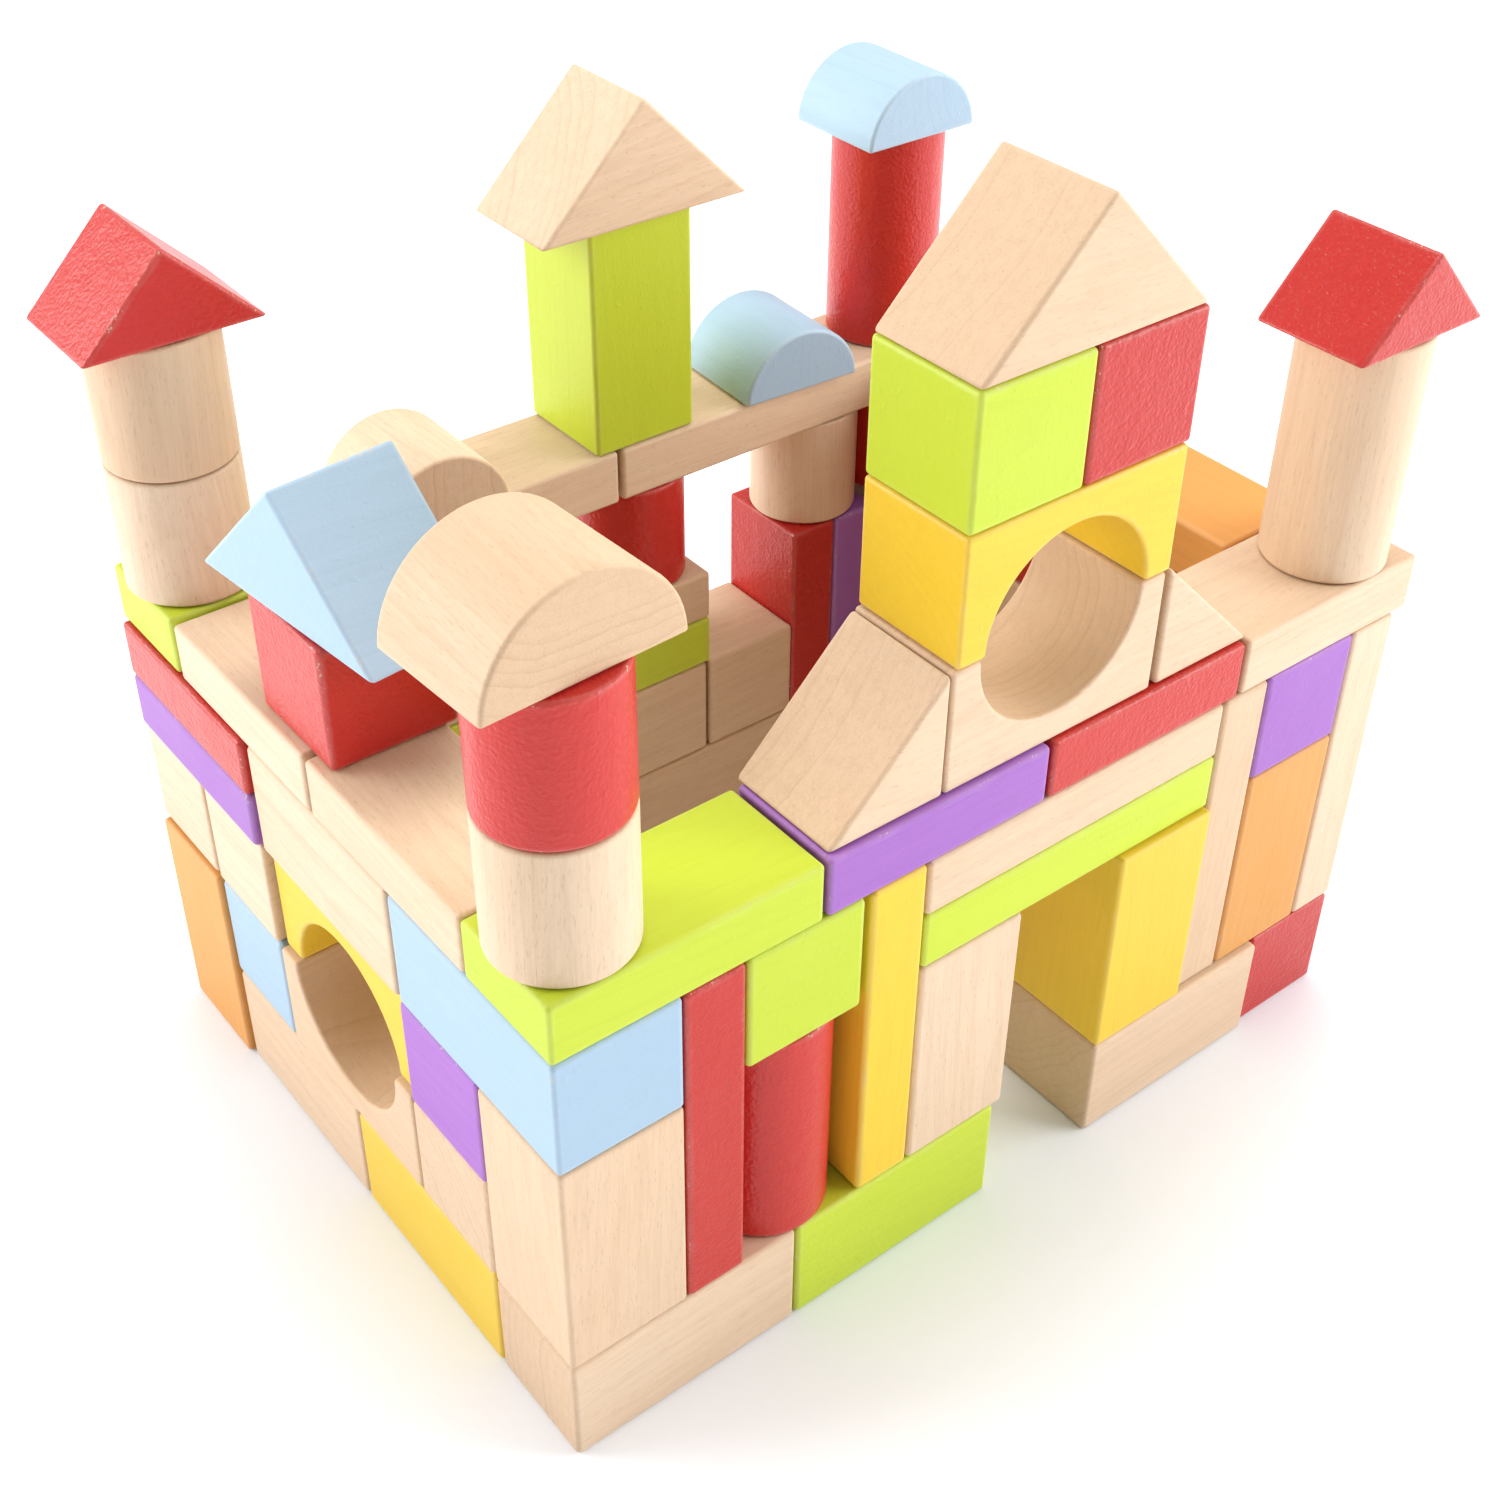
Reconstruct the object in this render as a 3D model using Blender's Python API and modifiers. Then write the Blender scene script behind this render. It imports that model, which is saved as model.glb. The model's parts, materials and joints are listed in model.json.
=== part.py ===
"""A toy castle stacked from loose wooden building blocks.

The castle stands on Z = 0, with its gate wall towards -Y and +Z up. The origin is the
middle of its footprint. The blocks are whole or half multiples of one cube, apart from
the drums, the half-rounds and one cap, which have sizes of their own. Lengths are metres.
"""

import math

import bmesh
import bpy
from mathutils import Matrix, Vector

# Driving sizes
CUBE = 0.030  # side of a cube, and depth of every block
SEAT_GAP = 0.0003  # between a block and the one that it rests on
SIDE_GAP = 0.00045  # between neighbours in a course
LOOSE_GAP = 0.0012  # between neighbours that were set down less neatly
EDGE = 0.0012  # width of the eased edges
ARCH_RADIUS = 0.0225  # half-circle cut out of an arch
DRUM_WIDER = 0.0003  # how much wider than a cube a drum is
DRUM_TALLER = 0.0020  # and how much taller
LARGE_ROUND_RADIUS = 0.0216  # half-round on the front left tower
SMALL_ROUND_RADIUS = 0.0180  # the other three half-rounds
SAW_CUT = 0.0010  # what the saw takes off the flat of each half-round
GREEN_CAP_EXTRA = 0.0045  # how much longer than two cubes the green cap is

# Small shifts of blocks that were set down by hand
BAY_PLAY = 0.0012  # room beside the front drum in its bay
PROUD = 0.0018  # how far the gate's right side stands in front of the wall
ARCH_INSET = 0.0018  # how far the yellow arch sits inside the left wall's face
CORNER_SHIFT = 0.0012  # how far the back left corner sticks out to the left
GATEHOUSE_SHIFT = 0.0036  # from the lintel's left end to the gatehouse
GATEHOUSE_INSET = 0.0015  # from the gate wall's face to the gatehouse
UPPER_SHIFT = 0.0009  # from the lower arch to the upper arch and all on it
HOUSE_X = 0.0174  # from the left face to the middle of the house on the left wall
HOUSE_Y = 0.0054  # from the joint of the left caps to the middle of that house
BACK_SHIFT = 0.0030  # from the back wall's third block to the joint of its top planks
BEARING = 0.0036  # length of the left top plank that rests on the red drum
ROUND_BEARING = 0.0080  # from the left top plank's end to the middle of its half-round
FORWARD = 0.0030  # how far the half-rounds and roofs at the back sit in front of the middle
LEFT_TOWER_INSET = 0.0132  # from the left face to the middle of each left tower
RIGHT_TOWER_INSET = 0.0174  # from the right cap's end to the middle of its tower
BACK_TOWER_INSET = 0.0219  # from the right face to the middle of the back right tower
BACK_ROUND_SHIFT = 0.0042  # from the middle of that tower to its half-round
ROUND_TURN = math.radians(3)  # how far two of the half-rounds are turned
ROOF_TURN = math.radians(6)  # how far the blue roof is turned on its cube

# Sizes that follow from the module: two planks make a cube, two cubes a long block
PLANK = (CUBE - SEAT_GAP) / 2
LONG = 2 * CUBE
DRUM_DIAMETER = CUBE + DRUM_WIDER
DRUM_HEIGHT = CUBE + DRUM_TALLER
TRIPLE = 3 * CUBE
GREEN_CAP_LENGTH = LONG + GREEN_CAP_EXTRA
PITCH = CUBE + SEAT_GAP
SMALL_ROOF_WIDTH = math.sqrt(2) * CUBE
SMALL_ROOF_HEIGHT = SMALL_ROOF_WIDTH / 2

# Mesh detail
DRUM_SIDES = 32
ARCH_SIDES = 48
MERGE = 0.000001  # points closer than this are one
SHARP_ANGLE = math.radians(30)  # edges sharper than this are eased
JOINT_BITE = 0.001  # how far a joint goes into each of the two blocks that it joins
JOINT_REACH = 1.5 * LOOSE_GAP  # the widest gap that a joint spans
LEAST_LAP = PLANK / 2  # blocks that face each other over less than this get no joint

WOODS = {
    "natural": (0.80, 0.62, 0.42),
    "red": (0.45, 0.012, 0.016),
    "green": (0.42, 0.66, 0.035),
    "yellow": (0.93, 0.62, 0.03),
    "blue": (0.38, 0.62, 0.80),
    "purple": (0.33, 0.10, 0.62),
    "orange": (0.86, 0.36, 0.07),
}
WOOD_ROUGHNESS = 0.5


def after(start, length, gap=SIDE_GAP):
    """Where the next block of a row starts."""
    return start + length + gap


def level(number):
    """Underside of a course. Halves are the plank courses."""
    return number * PITCH


def tall(levels):
    """Height of a block that fills this many courses."""
    return levels * PITCH - SEAT_GAP


# Plan of the front wall, from left to right
RED_UPRIGHT_X = after(0, CUBE)
DRUM_BAY_X = after(RED_UPRIGHT_X, PLANK)
DRUM_BAY = max(CUBE, DRUM_DIAMETER) + BAY_PLAY
YELLOW_UPRIGHT_X = after(DRUM_BAY_X, DRUM_BAY)
GATE_LEFT_X = after(YELLOW_UPRIGHT_X, PLANK)
GATE_RIGHT_X = GATE_LEFT_X + TRIPLE - CUBE
NATURAL_UPRIGHT_X = after(GATE_RIGHT_X, CUBE)
ORANGE_X = after(NATURAL_UPRIGHT_X, PLANK)
LAST_UPRIGHT_X = after(ORANGE_X, CUBE)
WIDTH = LAST_UPRIGHT_X + PLANK
RIGHT_WALL_X = WIDTH - CUBE

# Plan of the side walls, from front to back
SIDE_Y = after(0, CUBE)
WINDOW_Y = after(SIDE_Y, CUBE)
BEYOND_WINDOW_Y = after(WINDOW_Y, LONG)
BACK_Y = after(BEYOND_WINDOW_Y, CUBE)
LOOSE_CUBE_Y = after(WINDOW_Y, LONG, LOOSE_GAP)
LOOSE_CORNER_Y = after(LOOSE_CUBE_Y, CUBE, LOOSE_GAP)
CAP_JOINT_Y = after(SIDE_Y, LONG, LOOSE_GAP)

# Four caps lie along the top of the gate wall, the green one first
PURPLE_CAP_X = after(0, GREEN_CAP_LENGTH, LOOSE_GAP)
RED_CAP_X = after(PURPLE_CAP_X, LONG, LOOSE_GAP)
RIGHT_CAP_X = after(RED_CAP_X, LONG, LOOSE_GAP)
TOP = level(4.5)

# The gatehouse stands across the two middle caps
GATEHOUSE_X = GATE_LEFT_X + GATEHOUSE_SHIFT

# Plan of the back wall: three blocks, the open window's sill, then two uprights
BACK_FIRST_X = after(-CORNER_SHIFT, CUBE)
BACK_SECOND_X = after(BACK_FIRST_X, CUBE)
BACK_THIRD_X = after(BACK_SECOND_X, LONG)
BACK_RED_X = after(BACK_THIRD_X, LONG)
BACK_PURPLE_X = after(BACK_RED_X, PLANK)
BACK_MIDDLE_Y = BACK_Y + CUBE / 2

# Its top planks rest on drums, so they lie a little above the caps of the other walls
BACK_JOINT_X = BACK_THIRD_X + BACK_SHIFT
BACK_PLANK_Z = level(3) + DRUM_HEIGHT + SEAT_GAP
BACK_TOP = BACK_PLANK_Z + PLANK + SEAT_GAP
BACK_TOWER_X = WIDTH - BACK_TOWER_INSET


def new_collection(name):
    found = bpy.data.collections.new(name)
    bpy.context.scene.collection.children.link(found)
    return found


def wood(node, colour):
    """The block's own painted or bare wood."""
    made = bpy.data.materials.new(node)
    made.use_nodes = True
    shader = made.node_tree.nodes["Principled BSDF"]
    shader.inputs["Base Color"].default_value = (*WOODS[colour], 1)
    shader.inputs["Roughness"].default_value = WOOD_ROUGHNESS
    shader.inputs["Metallic"].default_value = 0
    return made


def place(node, colour, shape, spot, turn=0.0):
    """Makes the object of a finished bmesh, with eased edges, and sets it in its place."""
    mesh = bpy.data.meshes.new(node)
    bmesh.ops.recalc_face_normals(shape, faces=shape.faces)
    shape.to_mesh(mesh)
    shape.free()
    mesh.shade_smooth()
    mesh.set_sharp_from_angle(angle=SHARP_ANGLE)
    block = bpy.data.objects.new(node, mesh)
    block.location = spot
    block.rotation_euler.z = turn
    mesh.materials.append(wood(node, colour))
    castle.objects.link(block)
    eased = block.modifiers.new("Eased edges", "BEVEL")
    eased.width = EDGE
    eased.segments = 1
    eased.limit_method = "ANGLE"
    eased.angle_limit = SHARP_ANGLE
    return block


def cuboid(size):
    """A bmesh box that stands on its underside, centred on the Z axis."""
    shape = bmesh.new()
    bmesh.ops.create_cube(shape, size=1, matrix=Matrix.Translation((0, 0, 0.5)))
    bmesh.ops.scale(shape, vec=size, verts=shape.verts)
    return shape


def slice_off(shape, point, normal):
    """Cuts away what lies beyond a plane and closes the cut."""
    geometry = shape.verts[:] + shape.edges[:] + shape.faces[:]
    cut = bmesh.ops.bisect_plane(
        shape, geom=geometry, plane_co=point, plane_no=normal, clear_outer=True
    )
    rim = [item for item in cut["geom_cut"] if isinstance(item, bmesh.types.BMEdge)]
    bmesh.ops.contextual_create(shape, geom=rim)
    bmesh.ops.dissolve_degenerate(shape, dist=MERGE, edges=shape.edges)


def middle(low, size):
    """Where a box with this low corner stands."""
    return Vector((low[0] + size[0] / 2, low[1] + size[1] / 2, low[2]))


def brick(node, colour, low, size):
    """A plain block, by its low corner and its size."""
    return place(node, colour, cuboid(size), middle(low, size))


def drum(node, colour, centre, height):
    """A round block that stands on end."""
    shape = bmesh.new()
    bmesh.ops.create_cone(
        shape,
        cap_ends=True,
        segments=DRUM_SIDES,
        radius1=DRUM_DIAMETER / 2,
        radius2=DRUM_DIAMETER / 2,
        depth=height,
        matrix=Matrix.Translation((0, 0, height / 2)),
    )
    return place(node, colour, shape, centre)


def half_round(node, colour, centre, radius, turn=0.0):
    """A drum sawn along its length just above its axis, lying on the sawn face."""
    shape = bmesh.new()
    first = math.asin(SAW_CUT / radius)
    step = (math.pi - 2 * first) / DRUM_SIDES
    rim = []
    for index in range(DRUM_SIDES + 1):
        angle = first + step * index
        height = radius * math.sin(angle) - SAW_CUT
        rim.append(shape.verts.new((radius * math.cos(angle), -CUBE / 2, height)))
    end = shape.faces.new(rim)
    made = bmesh.ops.extrude_face_region(shape, geom=[end])
    far_rim = [item for item in made["geom"] if isinstance(item, bmesh.types.BMVert)]
    bmesh.ops.translate(shape, vec=(0, CUBE, 0), verts=far_rim)
    bmesh.ops.recalc_face_normals(shape, faces=shape.faces)
    return place(node, colour, shape, centre, turn)


def gable(node, colour, centre, width, height, turn=0.0):
    """A three-sided roof block, its ridge along Y before it is turned."""
    shape = cuboid((width, CUBE, height))
    for side in (-1, 1):
        slice_off(shape, (0, 0, height), (side * height, 0, width / 2))
    return place(node, colour, shape, centre, turn)


def ramp(node, colour, low, rise):
    """Half a cube, cut on the diagonal. rise is 1 where it climbs to the right, else -1."""
    size = (CUBE, CUBE, CUBE)
    shape = cuboid(size)
    slice_off(shape, (0, 0, CUBE / 2), (-rise, 0, 1))
    return place(node, colour, shape, middle(low, size))


def arch(node, colour, low, size, upside_down=False):
    """A long block with a half circle cut through it, which opens down or, inverted, up."""
    block = brick(node, colour, low, size)
    along_y = size[1] > size[0]
    cutter_mesh = bmesh.new()
    bmesh.ops.create_cone(
        cutter_mesh,
        cap_ends=True,
        segments=ARCH_SIDES,
        radius1=ARCH_RADIUS,
        radius2=ARCH_RADIUS,
        depth=2 * CUBE,
        matrix=Matrix.Rotation(math.pi / 2, 4, "Y" if along_y else "X"),
    )
    height = Vector((0, 0, size[2] if upside_down else 0))
    cutter = place(f"{node}_cutter", colour, cutter_mesh, middle(low, size) + height)
    cutter.modifiers.clear()
    hide(cutter)
    cut = block.modifiers.new("Arch", "BOOLEAN")
    cut.operation = "DIFFERENCE"
    cut.solver = "EXACT"
    cut.object = cutter
    block.modifiers.move(1, 0)
    return block


def hide(helper):
    """Takes a cutter or a joined block out of the castle and out of renders."""
    castle.objects.unlink(helper)
    helpers.objects.link(helper)
    helper.hide_render = True
    helper.display_type = "WIRE"


def extent(block):
    """Low and high corner of an unturned block."""
    corners = [Vector(corner) + block.location for corner in block.bound_box]
    low = [min(corner[axis] for corner in corners) for axis in range(3)]
    high = [max(corner[axis] for corner in corners) for axis in range(3)]
    return low, high


def joint_between(first, second):
    """Low corner and size of a hidden joint between two blocks that face each other."""
    for one, other in ((extent(first), extent(second)), (extent(second), extent(first))):
        low = [max(one[0][axis], other[0][axis]) for axis in range(3)]
        high = [min(one[1][axis], other[1][axis]) for axis in range(3)]
        for facing in range(3):
            across = [axis for axis in range(3) if axis != facing]
            apart = other[0][facing] - one[1][facing]
            if not 0 <= apart <= JOINT_REACH:
                continue
            if min(high[axis] - low[axis] for axis in across) < LEAST_LAP:
                continue
            for axis in across:
                quarter = (high[axis] - low[axis]) / 4
                low[axis] += quarter
                high[axis] -= quarter
            low[facing] = one[1][facing] - JOINT_BITE
            high[facing] = other[0][facing] + JOINT_BITE
            return low, [high[axis] - low[axis] for axis in range(3)]
    return None


def joined(*blocks):
    """Makes neighbouring blocks of the same wood one piece, by hidden joints between them.

    The first block gives the piece its name. Each block keeps its own eased edges.
    """
    piece = blocks[0]
    bpy.context.view_layer.update()
    joints = []
    for index, first in enumerate(blocks):
        for second in blocks[index + 1 :]:
            found = joint_between(first, second)
            if found:
                joint = brick(f"{piece.name}_joint_{len(joints)}", "natural", *found)
                joint.modifiers.clear()
                joints.append(joint)
    for helper in (*blocks[1:], *joints):
        hide(helper)
        union = piece.modifiers.new(f"Join {helper.name}", "BOOLEAN")
        union.operation = "UNION"
        union.solver = "EXACT"
        union.object = helper
    return piece


def front_base():
    """Lowest course of the gate wall, on both sides of the gate."""
    brick("base_green", "green", (after(0, LONG), 0, 0), (LONG, CUBE, CUBE))
    brick("base_red_cube", "red", (after(GATE_RIGHT_X, LONG), 0, 0), (CUBE, CUBE, CUBE))


def front_wall():
    """The uprights, columns and drum between the base and the caps."""
    upright = (PLANK, CUBE, tall(3))
    column = (CUBE, CUBE, tall(2))
    drum_middle = (DRUM_BAY_X + DRUM_BAY / 2, DRUM_DIAMETER / 2, level(1))
    brick("front_red_upright", "red", (RED_UPRIGHT_X, 0, level(1)), upright)
    drum("front_long_red_drum", "red", drum_middle, tall(2))
    brick("front_green_cube", "green", (DRUM_BAY_X, 0, level(3)), (CUBE, CUBE, CUBE))
    brick("front_yellow_upright", "yellow", (YELLOW_UPRIGHT_X, 0, level(1)), upright)
    brick("gate_left_column", "natural", (GATE_LEFT_X, 0, level(1)), column)
    brick("gate_yellow_column", "yellow", (GATE_RIGHT_X, -PROUD, level(1)), column)
    brick("gate_green_lintel", "green", (GATE_LEFT_X, 0, level(3)), (TRIPLE, CUBE, PLANK))
    brick("front_orange_column", "orange", (ORANGE_X, 0, level(1)), column)
    brick("front_purple_cube", "purple", (ORANGE_X, 0, level(3)), (CUBE, CUBE, CUBE))
    base = (GATE_RIGHT_X, -PROUD, 0)
    joined(
        brick("gate_right_natural", "natural", base, (LONG, CUBE, CUBE)),
        brick("gate_upright", "natural", (NATURAL_UPRIGHT_X, 0, level(1)), upright),
        brick("gate_lintel", "natural", (GATE_LEFT_X, 0, level(3.5)), (TRIPLE, CUBE, PLANK)),
    )


def caps():
    """Four planks along the top of the gate wall."""
    z = level(4)
    plank = (LONG, CUBE, PLANK)
    brick("cap_green", "green", (0, 0, z), (GREEN_CAP_LENGTH, CUBE, PLANK))
    brick("cap_purple", "purple", (PURPLE_CAP_X, 0, z), plank)
    brick("cap_red", "red", (RED_CAP_X, 0, z), plank)
    brick("cap_natural", "natural", (RIGHT_CAP_X, 0, z), plank)


def gatehouse():
    """Two arches that make a round window, two cubes, a roof and a ramp on each side."""
    y = GATEHOUSE_INSET
    upper_x = GATEHOUSE_X + UPPER_SHIFT
    red_x = after(upper_x, CUBE)
    left_x = GATEHOUSE_X - SIDE_GAP - CUBE
    right_x = after(red_x, CUBE)
    cube = (CUBE, CUBE, CUBE)
    long_x = (LONG, CUBE, CUBE)
    roof_middle = (upper_x + LONG / 2, y + CUBE / 2, level(7.5))
    arch("gatehouse_natural_arch", "natural", (GATEHOUSE_X, y, TOP), long_x, True)
    arch("gatehouse_yellow_arch", "yellow", (upper_x, y, level(5.5)), long_x)
    brick("gatehouse_green_cube", "green", (upper_x, y, level(6.5)), cube)
    brick("gatehouse_red_cube", "red", (red_x, y, level(6.5)), cube)
    gable("gatehouse_natural_roof", "natural", roof_middle, LONG, CUBE)
    ramp("gatehouse_left_ramp", "natural", (left_x, y, TOP), 1)
    ramp("gatehouse_right_ramp", "natural", (right_x, y, TOP), -1)


def left_wall():
    """The side wall with the round window."""
    cube = (CUBE, CUBE, CUBE)
    long_y = (CUBE, LONG, CUBE)
    plank_y = (CUBE, LONG, PLANK)
    corner_x = -CORNER_SHIFT
    brick("left_yellow_base", "yellow", (0, SIDE_Y, 0), long_y)
    brick("left_orange_column", "orange", (corner_x, BACK_Y, 0), (CUBE, CUBE, tall(2)))
    brick("left_blue_cube", "blue", (0, BEYOND_WINDOW_Y, level(1)), cube)
    brick("left_purple_cube", "purple", (0, SIDE_Y, level(2)), cube)
    arch("left_yellow_arch", "yellow", (ARCH_INSET, WINDOW_Y, level(2)), long_y)
    brick("left_blue_corner", "blue", (0, 0, level(3)), long_y)
    brick("left_purple_plank", "purple", (corner_x, LOOSE_CUBE_Y, level(3)), plank_y)
    brick("left_red_plank", "red", (corner_x, LOOSE_CUBE_Y, level(3.5)), plank_y)
    joined(
        brick("left_front_natural", "natural", (0, 0, 0), (LONG, CUBE, CUBE)),
        brick("corner_column", "natural", (0, 0, level(1)), (CUBE, CUBE, tall(2))),
        brick("window_block", "natural", (0, SIDE_Y, level(1)), cube),
        arch("window_arch", "natural", (0, WINDOW_Y, level(1)), long_y, True),
        brick("left_back_base", "natural", (0, after(SIDE_Y, LONG), 0), long_y),
    )
    joined(
        brick("left_top_natural", "natural", (0, WINDOW_Y, level(3)), long_y),
        brick("left_front_cap", "natural", (0, SIDE_Y, level(4)), plank_y),
        brick("left_back_cap", "natural", (0, CAP_JOINT_Y, level(4)), plank_y),
    )


def left_house():
    """A cube with a roof, on the caps of the left wall."""
    middle_y = CAP_JOINT_Y + HOUSE_Y
    cube_low = (HOUSE_X - CUBE / 2, middle_y - CUBE / 2, TOP)
    roof_middle = (HOUSE_X, middle_y, level(5.5))
    brick("left_house_red_cube", "red", cube_low, (CUBE, CUBE, CUBE))
    gable("left_house_blue_roof", "blue", roof_middle, LONG, CUBE, math.pi / 2 + ROOF_TURN)


def back_wall():
    """The far wall with its open window, up to the two planks that rest on drums."""
    cube = (CUBE, CUBE, CUBE)
    long_x = (LONG, CUBE, CUBE)
    upright = (PLANK, CUBE, tall(3))
    triple_plank = (TRIPLE, CUBE, PLANK)
    third_course_x = after(0, CUBE)
    sill_x = after(third_course_x, CUBE)
    upper_second_x = after(BACK_FIRST_X, LONG)
    left_plank_x = BACK_JOINT_X - LOOSE_GAP - LONG
    left_plank_low = (left_plank_x, BACK_Y, BACK_PLANK_Z)
    right_plank_low = (BACK_JOINT_X, BACK_Y, BACK_PLANK_Z)
    drum_y = BACK_Y + DRUM_DIAMETER / 2
    red_drum_middle = (BACK_JOINT_X - BEARING + DRUM_DIAMETER / 2, drum_y, level(3))
    hidden_drum_middle = (left_plank_x + DRUM_DIAMETER / 2, drum_y, level(3))
    natural_drum_middle = (BACK_PURPLE_X - SIDE_GAP, drum_y, level(3))
    corner_drum_x = after(natural_drum_middle[0], DRUM_DIAMETER, LOOSE_GAP)
    corner_drum_middle = (corner_drum_x, drum_y, level(3))
    brick("back_green_plank", "green", (sill_x, BACK_Y, level(2)), triple_plank)
    brick("back_red_upright", "red", (BACK_RED_X, BACK_Y, 0), upright)
    brick("back_purple_upright", "purple", (BACK_PURPLE_X, BACK_Y, 0), upright)
    drum("back_red_drum", "red", red_drum_middle, DRUM_HEIGHT)
    drum("back_corner_red_drum", "red", corner_drum_middle, DRUM_HEIGHT)
    joined(
        brick("back_natural", "natural", (BACK_FIRST_X, BACK_Y, 0), cube),
        brick("back_base_second", "natural", (BACK_SECOND_X, BACK_Y, 0), long_x),
        brick("back_base_third", "natural", (BACK_THIRD_X, BACK_Y, 0), long_x),
        brick("back_upper_first", "natural", (BACK_FIRST_X, BACK_Y, level(1)), long_x),
        brick("back_upper_second", "natural", (upper_second_x, BACK_Y, level(1)), long_x),
        brick("back_sill_cube", "natural", (after(BACK_THIRD_X, CUBE), BACK_Y, level(1)), cube),
        brick("back_third_cube", "natural", (third_course_x, BACK_Y, level(2)), cube),
        brick("back_natural_plank", "natural", (sill_x, BACK_Y, level(2.5)), triple_plank),
        drum("back_hidden_drum", "natural", hidden_drum_middle, DRUM_HEIGHT),
        brick("back_left_plank", "natural", left_plank_low, (LONG, CUBE, PLANK)),
        brick("left_loose_cube", "natural", (0, LOOSE_CUBE_Y, level(2)), cube),
        brick("left_corner_cube", "natural", (0, LOOSE_CORNER_Y, level(2)), cube),
    )
    joined(
        brick("back_right_natural", "natural", right_plank_low, (2 * LONG, CUBE, PLANK)),
        drum("back_natural_drum", "natural", natural_drum_middle, DRUM_HEIGHT),
    )


def right_wall():
    """The side wall behind the gatehouse: long blocks in two rows, and the far corner."""
    x = RIGHT_WALL_X
    rows = (SIDE_Y, CAP_JOINT_Y)
    long_y = (CUBE, LONG, CUBE)
    plank_y = (CUBE, LONG, PLANK)
    joined(
        brick("right_natural", "natural", (LAST_UPRIGHT_X, 0, level(1)), (PLANK, CUBE, tall(3))),
        *(
            brick(f"right_course_{course}_{row}", "natural", (x, y, level(course)), long_y)
            for course in range(3)
            for row, y in enumerate(rows)
        ),
        brick("right_corner_column", "natural", (x, BACK_Y, 0), (CUBE, CUBE, tall(2))),
        brick("right_corner_cube", "natural", (x, BACK_Y, level(2)), (CUBE, CUBE, CUBE)),
    )
    joined(
        brick("right_red", "red", (x, SIDE_Y, level(3)), long_y),
        brick("right_red_beyond", "red", (x, CAP_JOINT_Y, level(3)), long_y),
    )
    joined(
        brick("right_orange_cap", "orange", (x, SIDE_Y, level(4)), plank_y),
        brick("right_orange_cap_beyond", "orange", (x, CAP_JOINT_Y, level(4)), plank_y),
    )


def corner_towers():
    """Drums and a roof on each corner of the castle."""
    front_y = CUBE / 2
    drum_top = TOP + DRUM_HEIGHT + SEAT_GAP
    two_drums_top = drum_top + DRUM_HEIGHT + SEAT_GAP
    left_x = LEFT_TOWER_INSET
    right_x = RIGHT_CAP_X + LONG - RIGHT_TOWER_INSET
    back_y = LOOSE_CORNER_Y + CUBE / 2
    round_middle = (left_x, front_y + FORWARD, two_drums_top)
    small_roof = (SMALL_ROOF_WIDTH, SMALL_ROOF_HEIGHT)
    drum("front_left_natural_drum", "natural", (left_x, front_y, TOP), DRUM_HEIGHT)
    drum("front_left_red_drum", "red", (left_x, front_y, drum_top), DRUM_HEIGHT)
    half_round("front_left_half_round", "natural", round_middle, LARGE_ROUND_RADIUS, ROUND_TURN)
    drum("front_right_natural_drum", "natural", (right_x, front_y, TOP), tall(2))
    gable("front_right_red_roof", "red", (right_x, front_y, TOP + tall(2) + SEAT_GAP), *small_roof)
    brick("back_left_green_plank", "green", (0, LOOSE_CORNER_Y, level(4)), (LONG, CUBE, PLANK))
    drum("back_left_lower_drum", "natural", (left_x, back_y, TOP), DRUM_HEIGHT)
    drum("back_left_upper_drum", "natural", (left_x, back_y, drum_top), DRUM_HEIGHT)
    gable("back_left_red_roof", "red", (left_x, back_y, two_drums_top), *small_roof)


def back_right_tower():
    """A long drum with a half-round on it, on the right end of the back wall."""
    round_x = BACK_TOWER_X - BACK_ROUND_SHIFT
    round_middle = (round_x, BACK_MIDDLE_Y - FORWARD, BACK_TOP + tall(2) + SEAT_GAP)
    drum("back_right_red_drum", "red", (BACK_TOWER_X, BACK_MIDDLE_Y, BACK_TOP), tall(2))
    half_round("back_right_blue_half_round", "blue", round_middle, SMALL_ROUND_RADIUS)


def back_tops():
    """What stands on the back wall: a column with a roof, and two half-rounds."""
    column_x = BACK_JOINT_X - CUBE / 4
    roof_z = BACK_TOP + tall(2) + SEAT_GAP
    y = BACK_MIDDLE_Y - FORWARD
    natural_x = BACK_JOINT_X - LOOSE_GAP - LONG + ROUND_BEARING
    brick("back_green_column", "green", (column_x, BACK_Y, BACK_TOP), (CUBE, CUBE, tall(2)))
    gable("back_natural_roof", "natural", (column_x + CUBE / 2, y, roof_z), LONG, CUBE)
    half_round(
        "back_blue_half_round", "blue", (BACK_RED_X, y, BACK_TOP), SMALL_ROUND_RADIUS, -ROUND_TURN
    )
    half_round(
        "back_natural_half_round", "natural", (natural_x, y, BACK_TOP), SMALL_ROUND_RADIUS
    )


def stand_on_origin():
    """Moves the castle so that the middle of its footprint is the origin."""
    graph = bpy.context.evaluated_depsgraph_get()
    corners = [
        block.matrix_world @ Vector(corner)
        for block in (each.evaluated_get(graph) for each in castle.objects)
        for corner in block.bound_box
    ]
    anchor = bpy.data.objects.new("castle_anchor", None)
    castle.objects.link(anchor)
    for axis in range(2):
        values = [corner[axis] for corner in corners]
        anchor.location[axis] = -(min(values) + max(values)) / 2
    for block in castle.objects:
        if block != anchor:
            block.parent = anchor
    for helper in helpers.objects:
        helper.parent = anchor


for old in list(bpy.data.objects):
    bpy.data.objects.remove(old, do_unlink=True)
castle = new_collection("block_castle")
helpers = new_collection("cutters_and_joints")
front_base()
front_wall()
caps()
gatehouse()
left_wall()
left_house()
back_wall()
right_wall()
corner_towers()
back_right_tower()
back_tops()
stand_on_origin()
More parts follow.
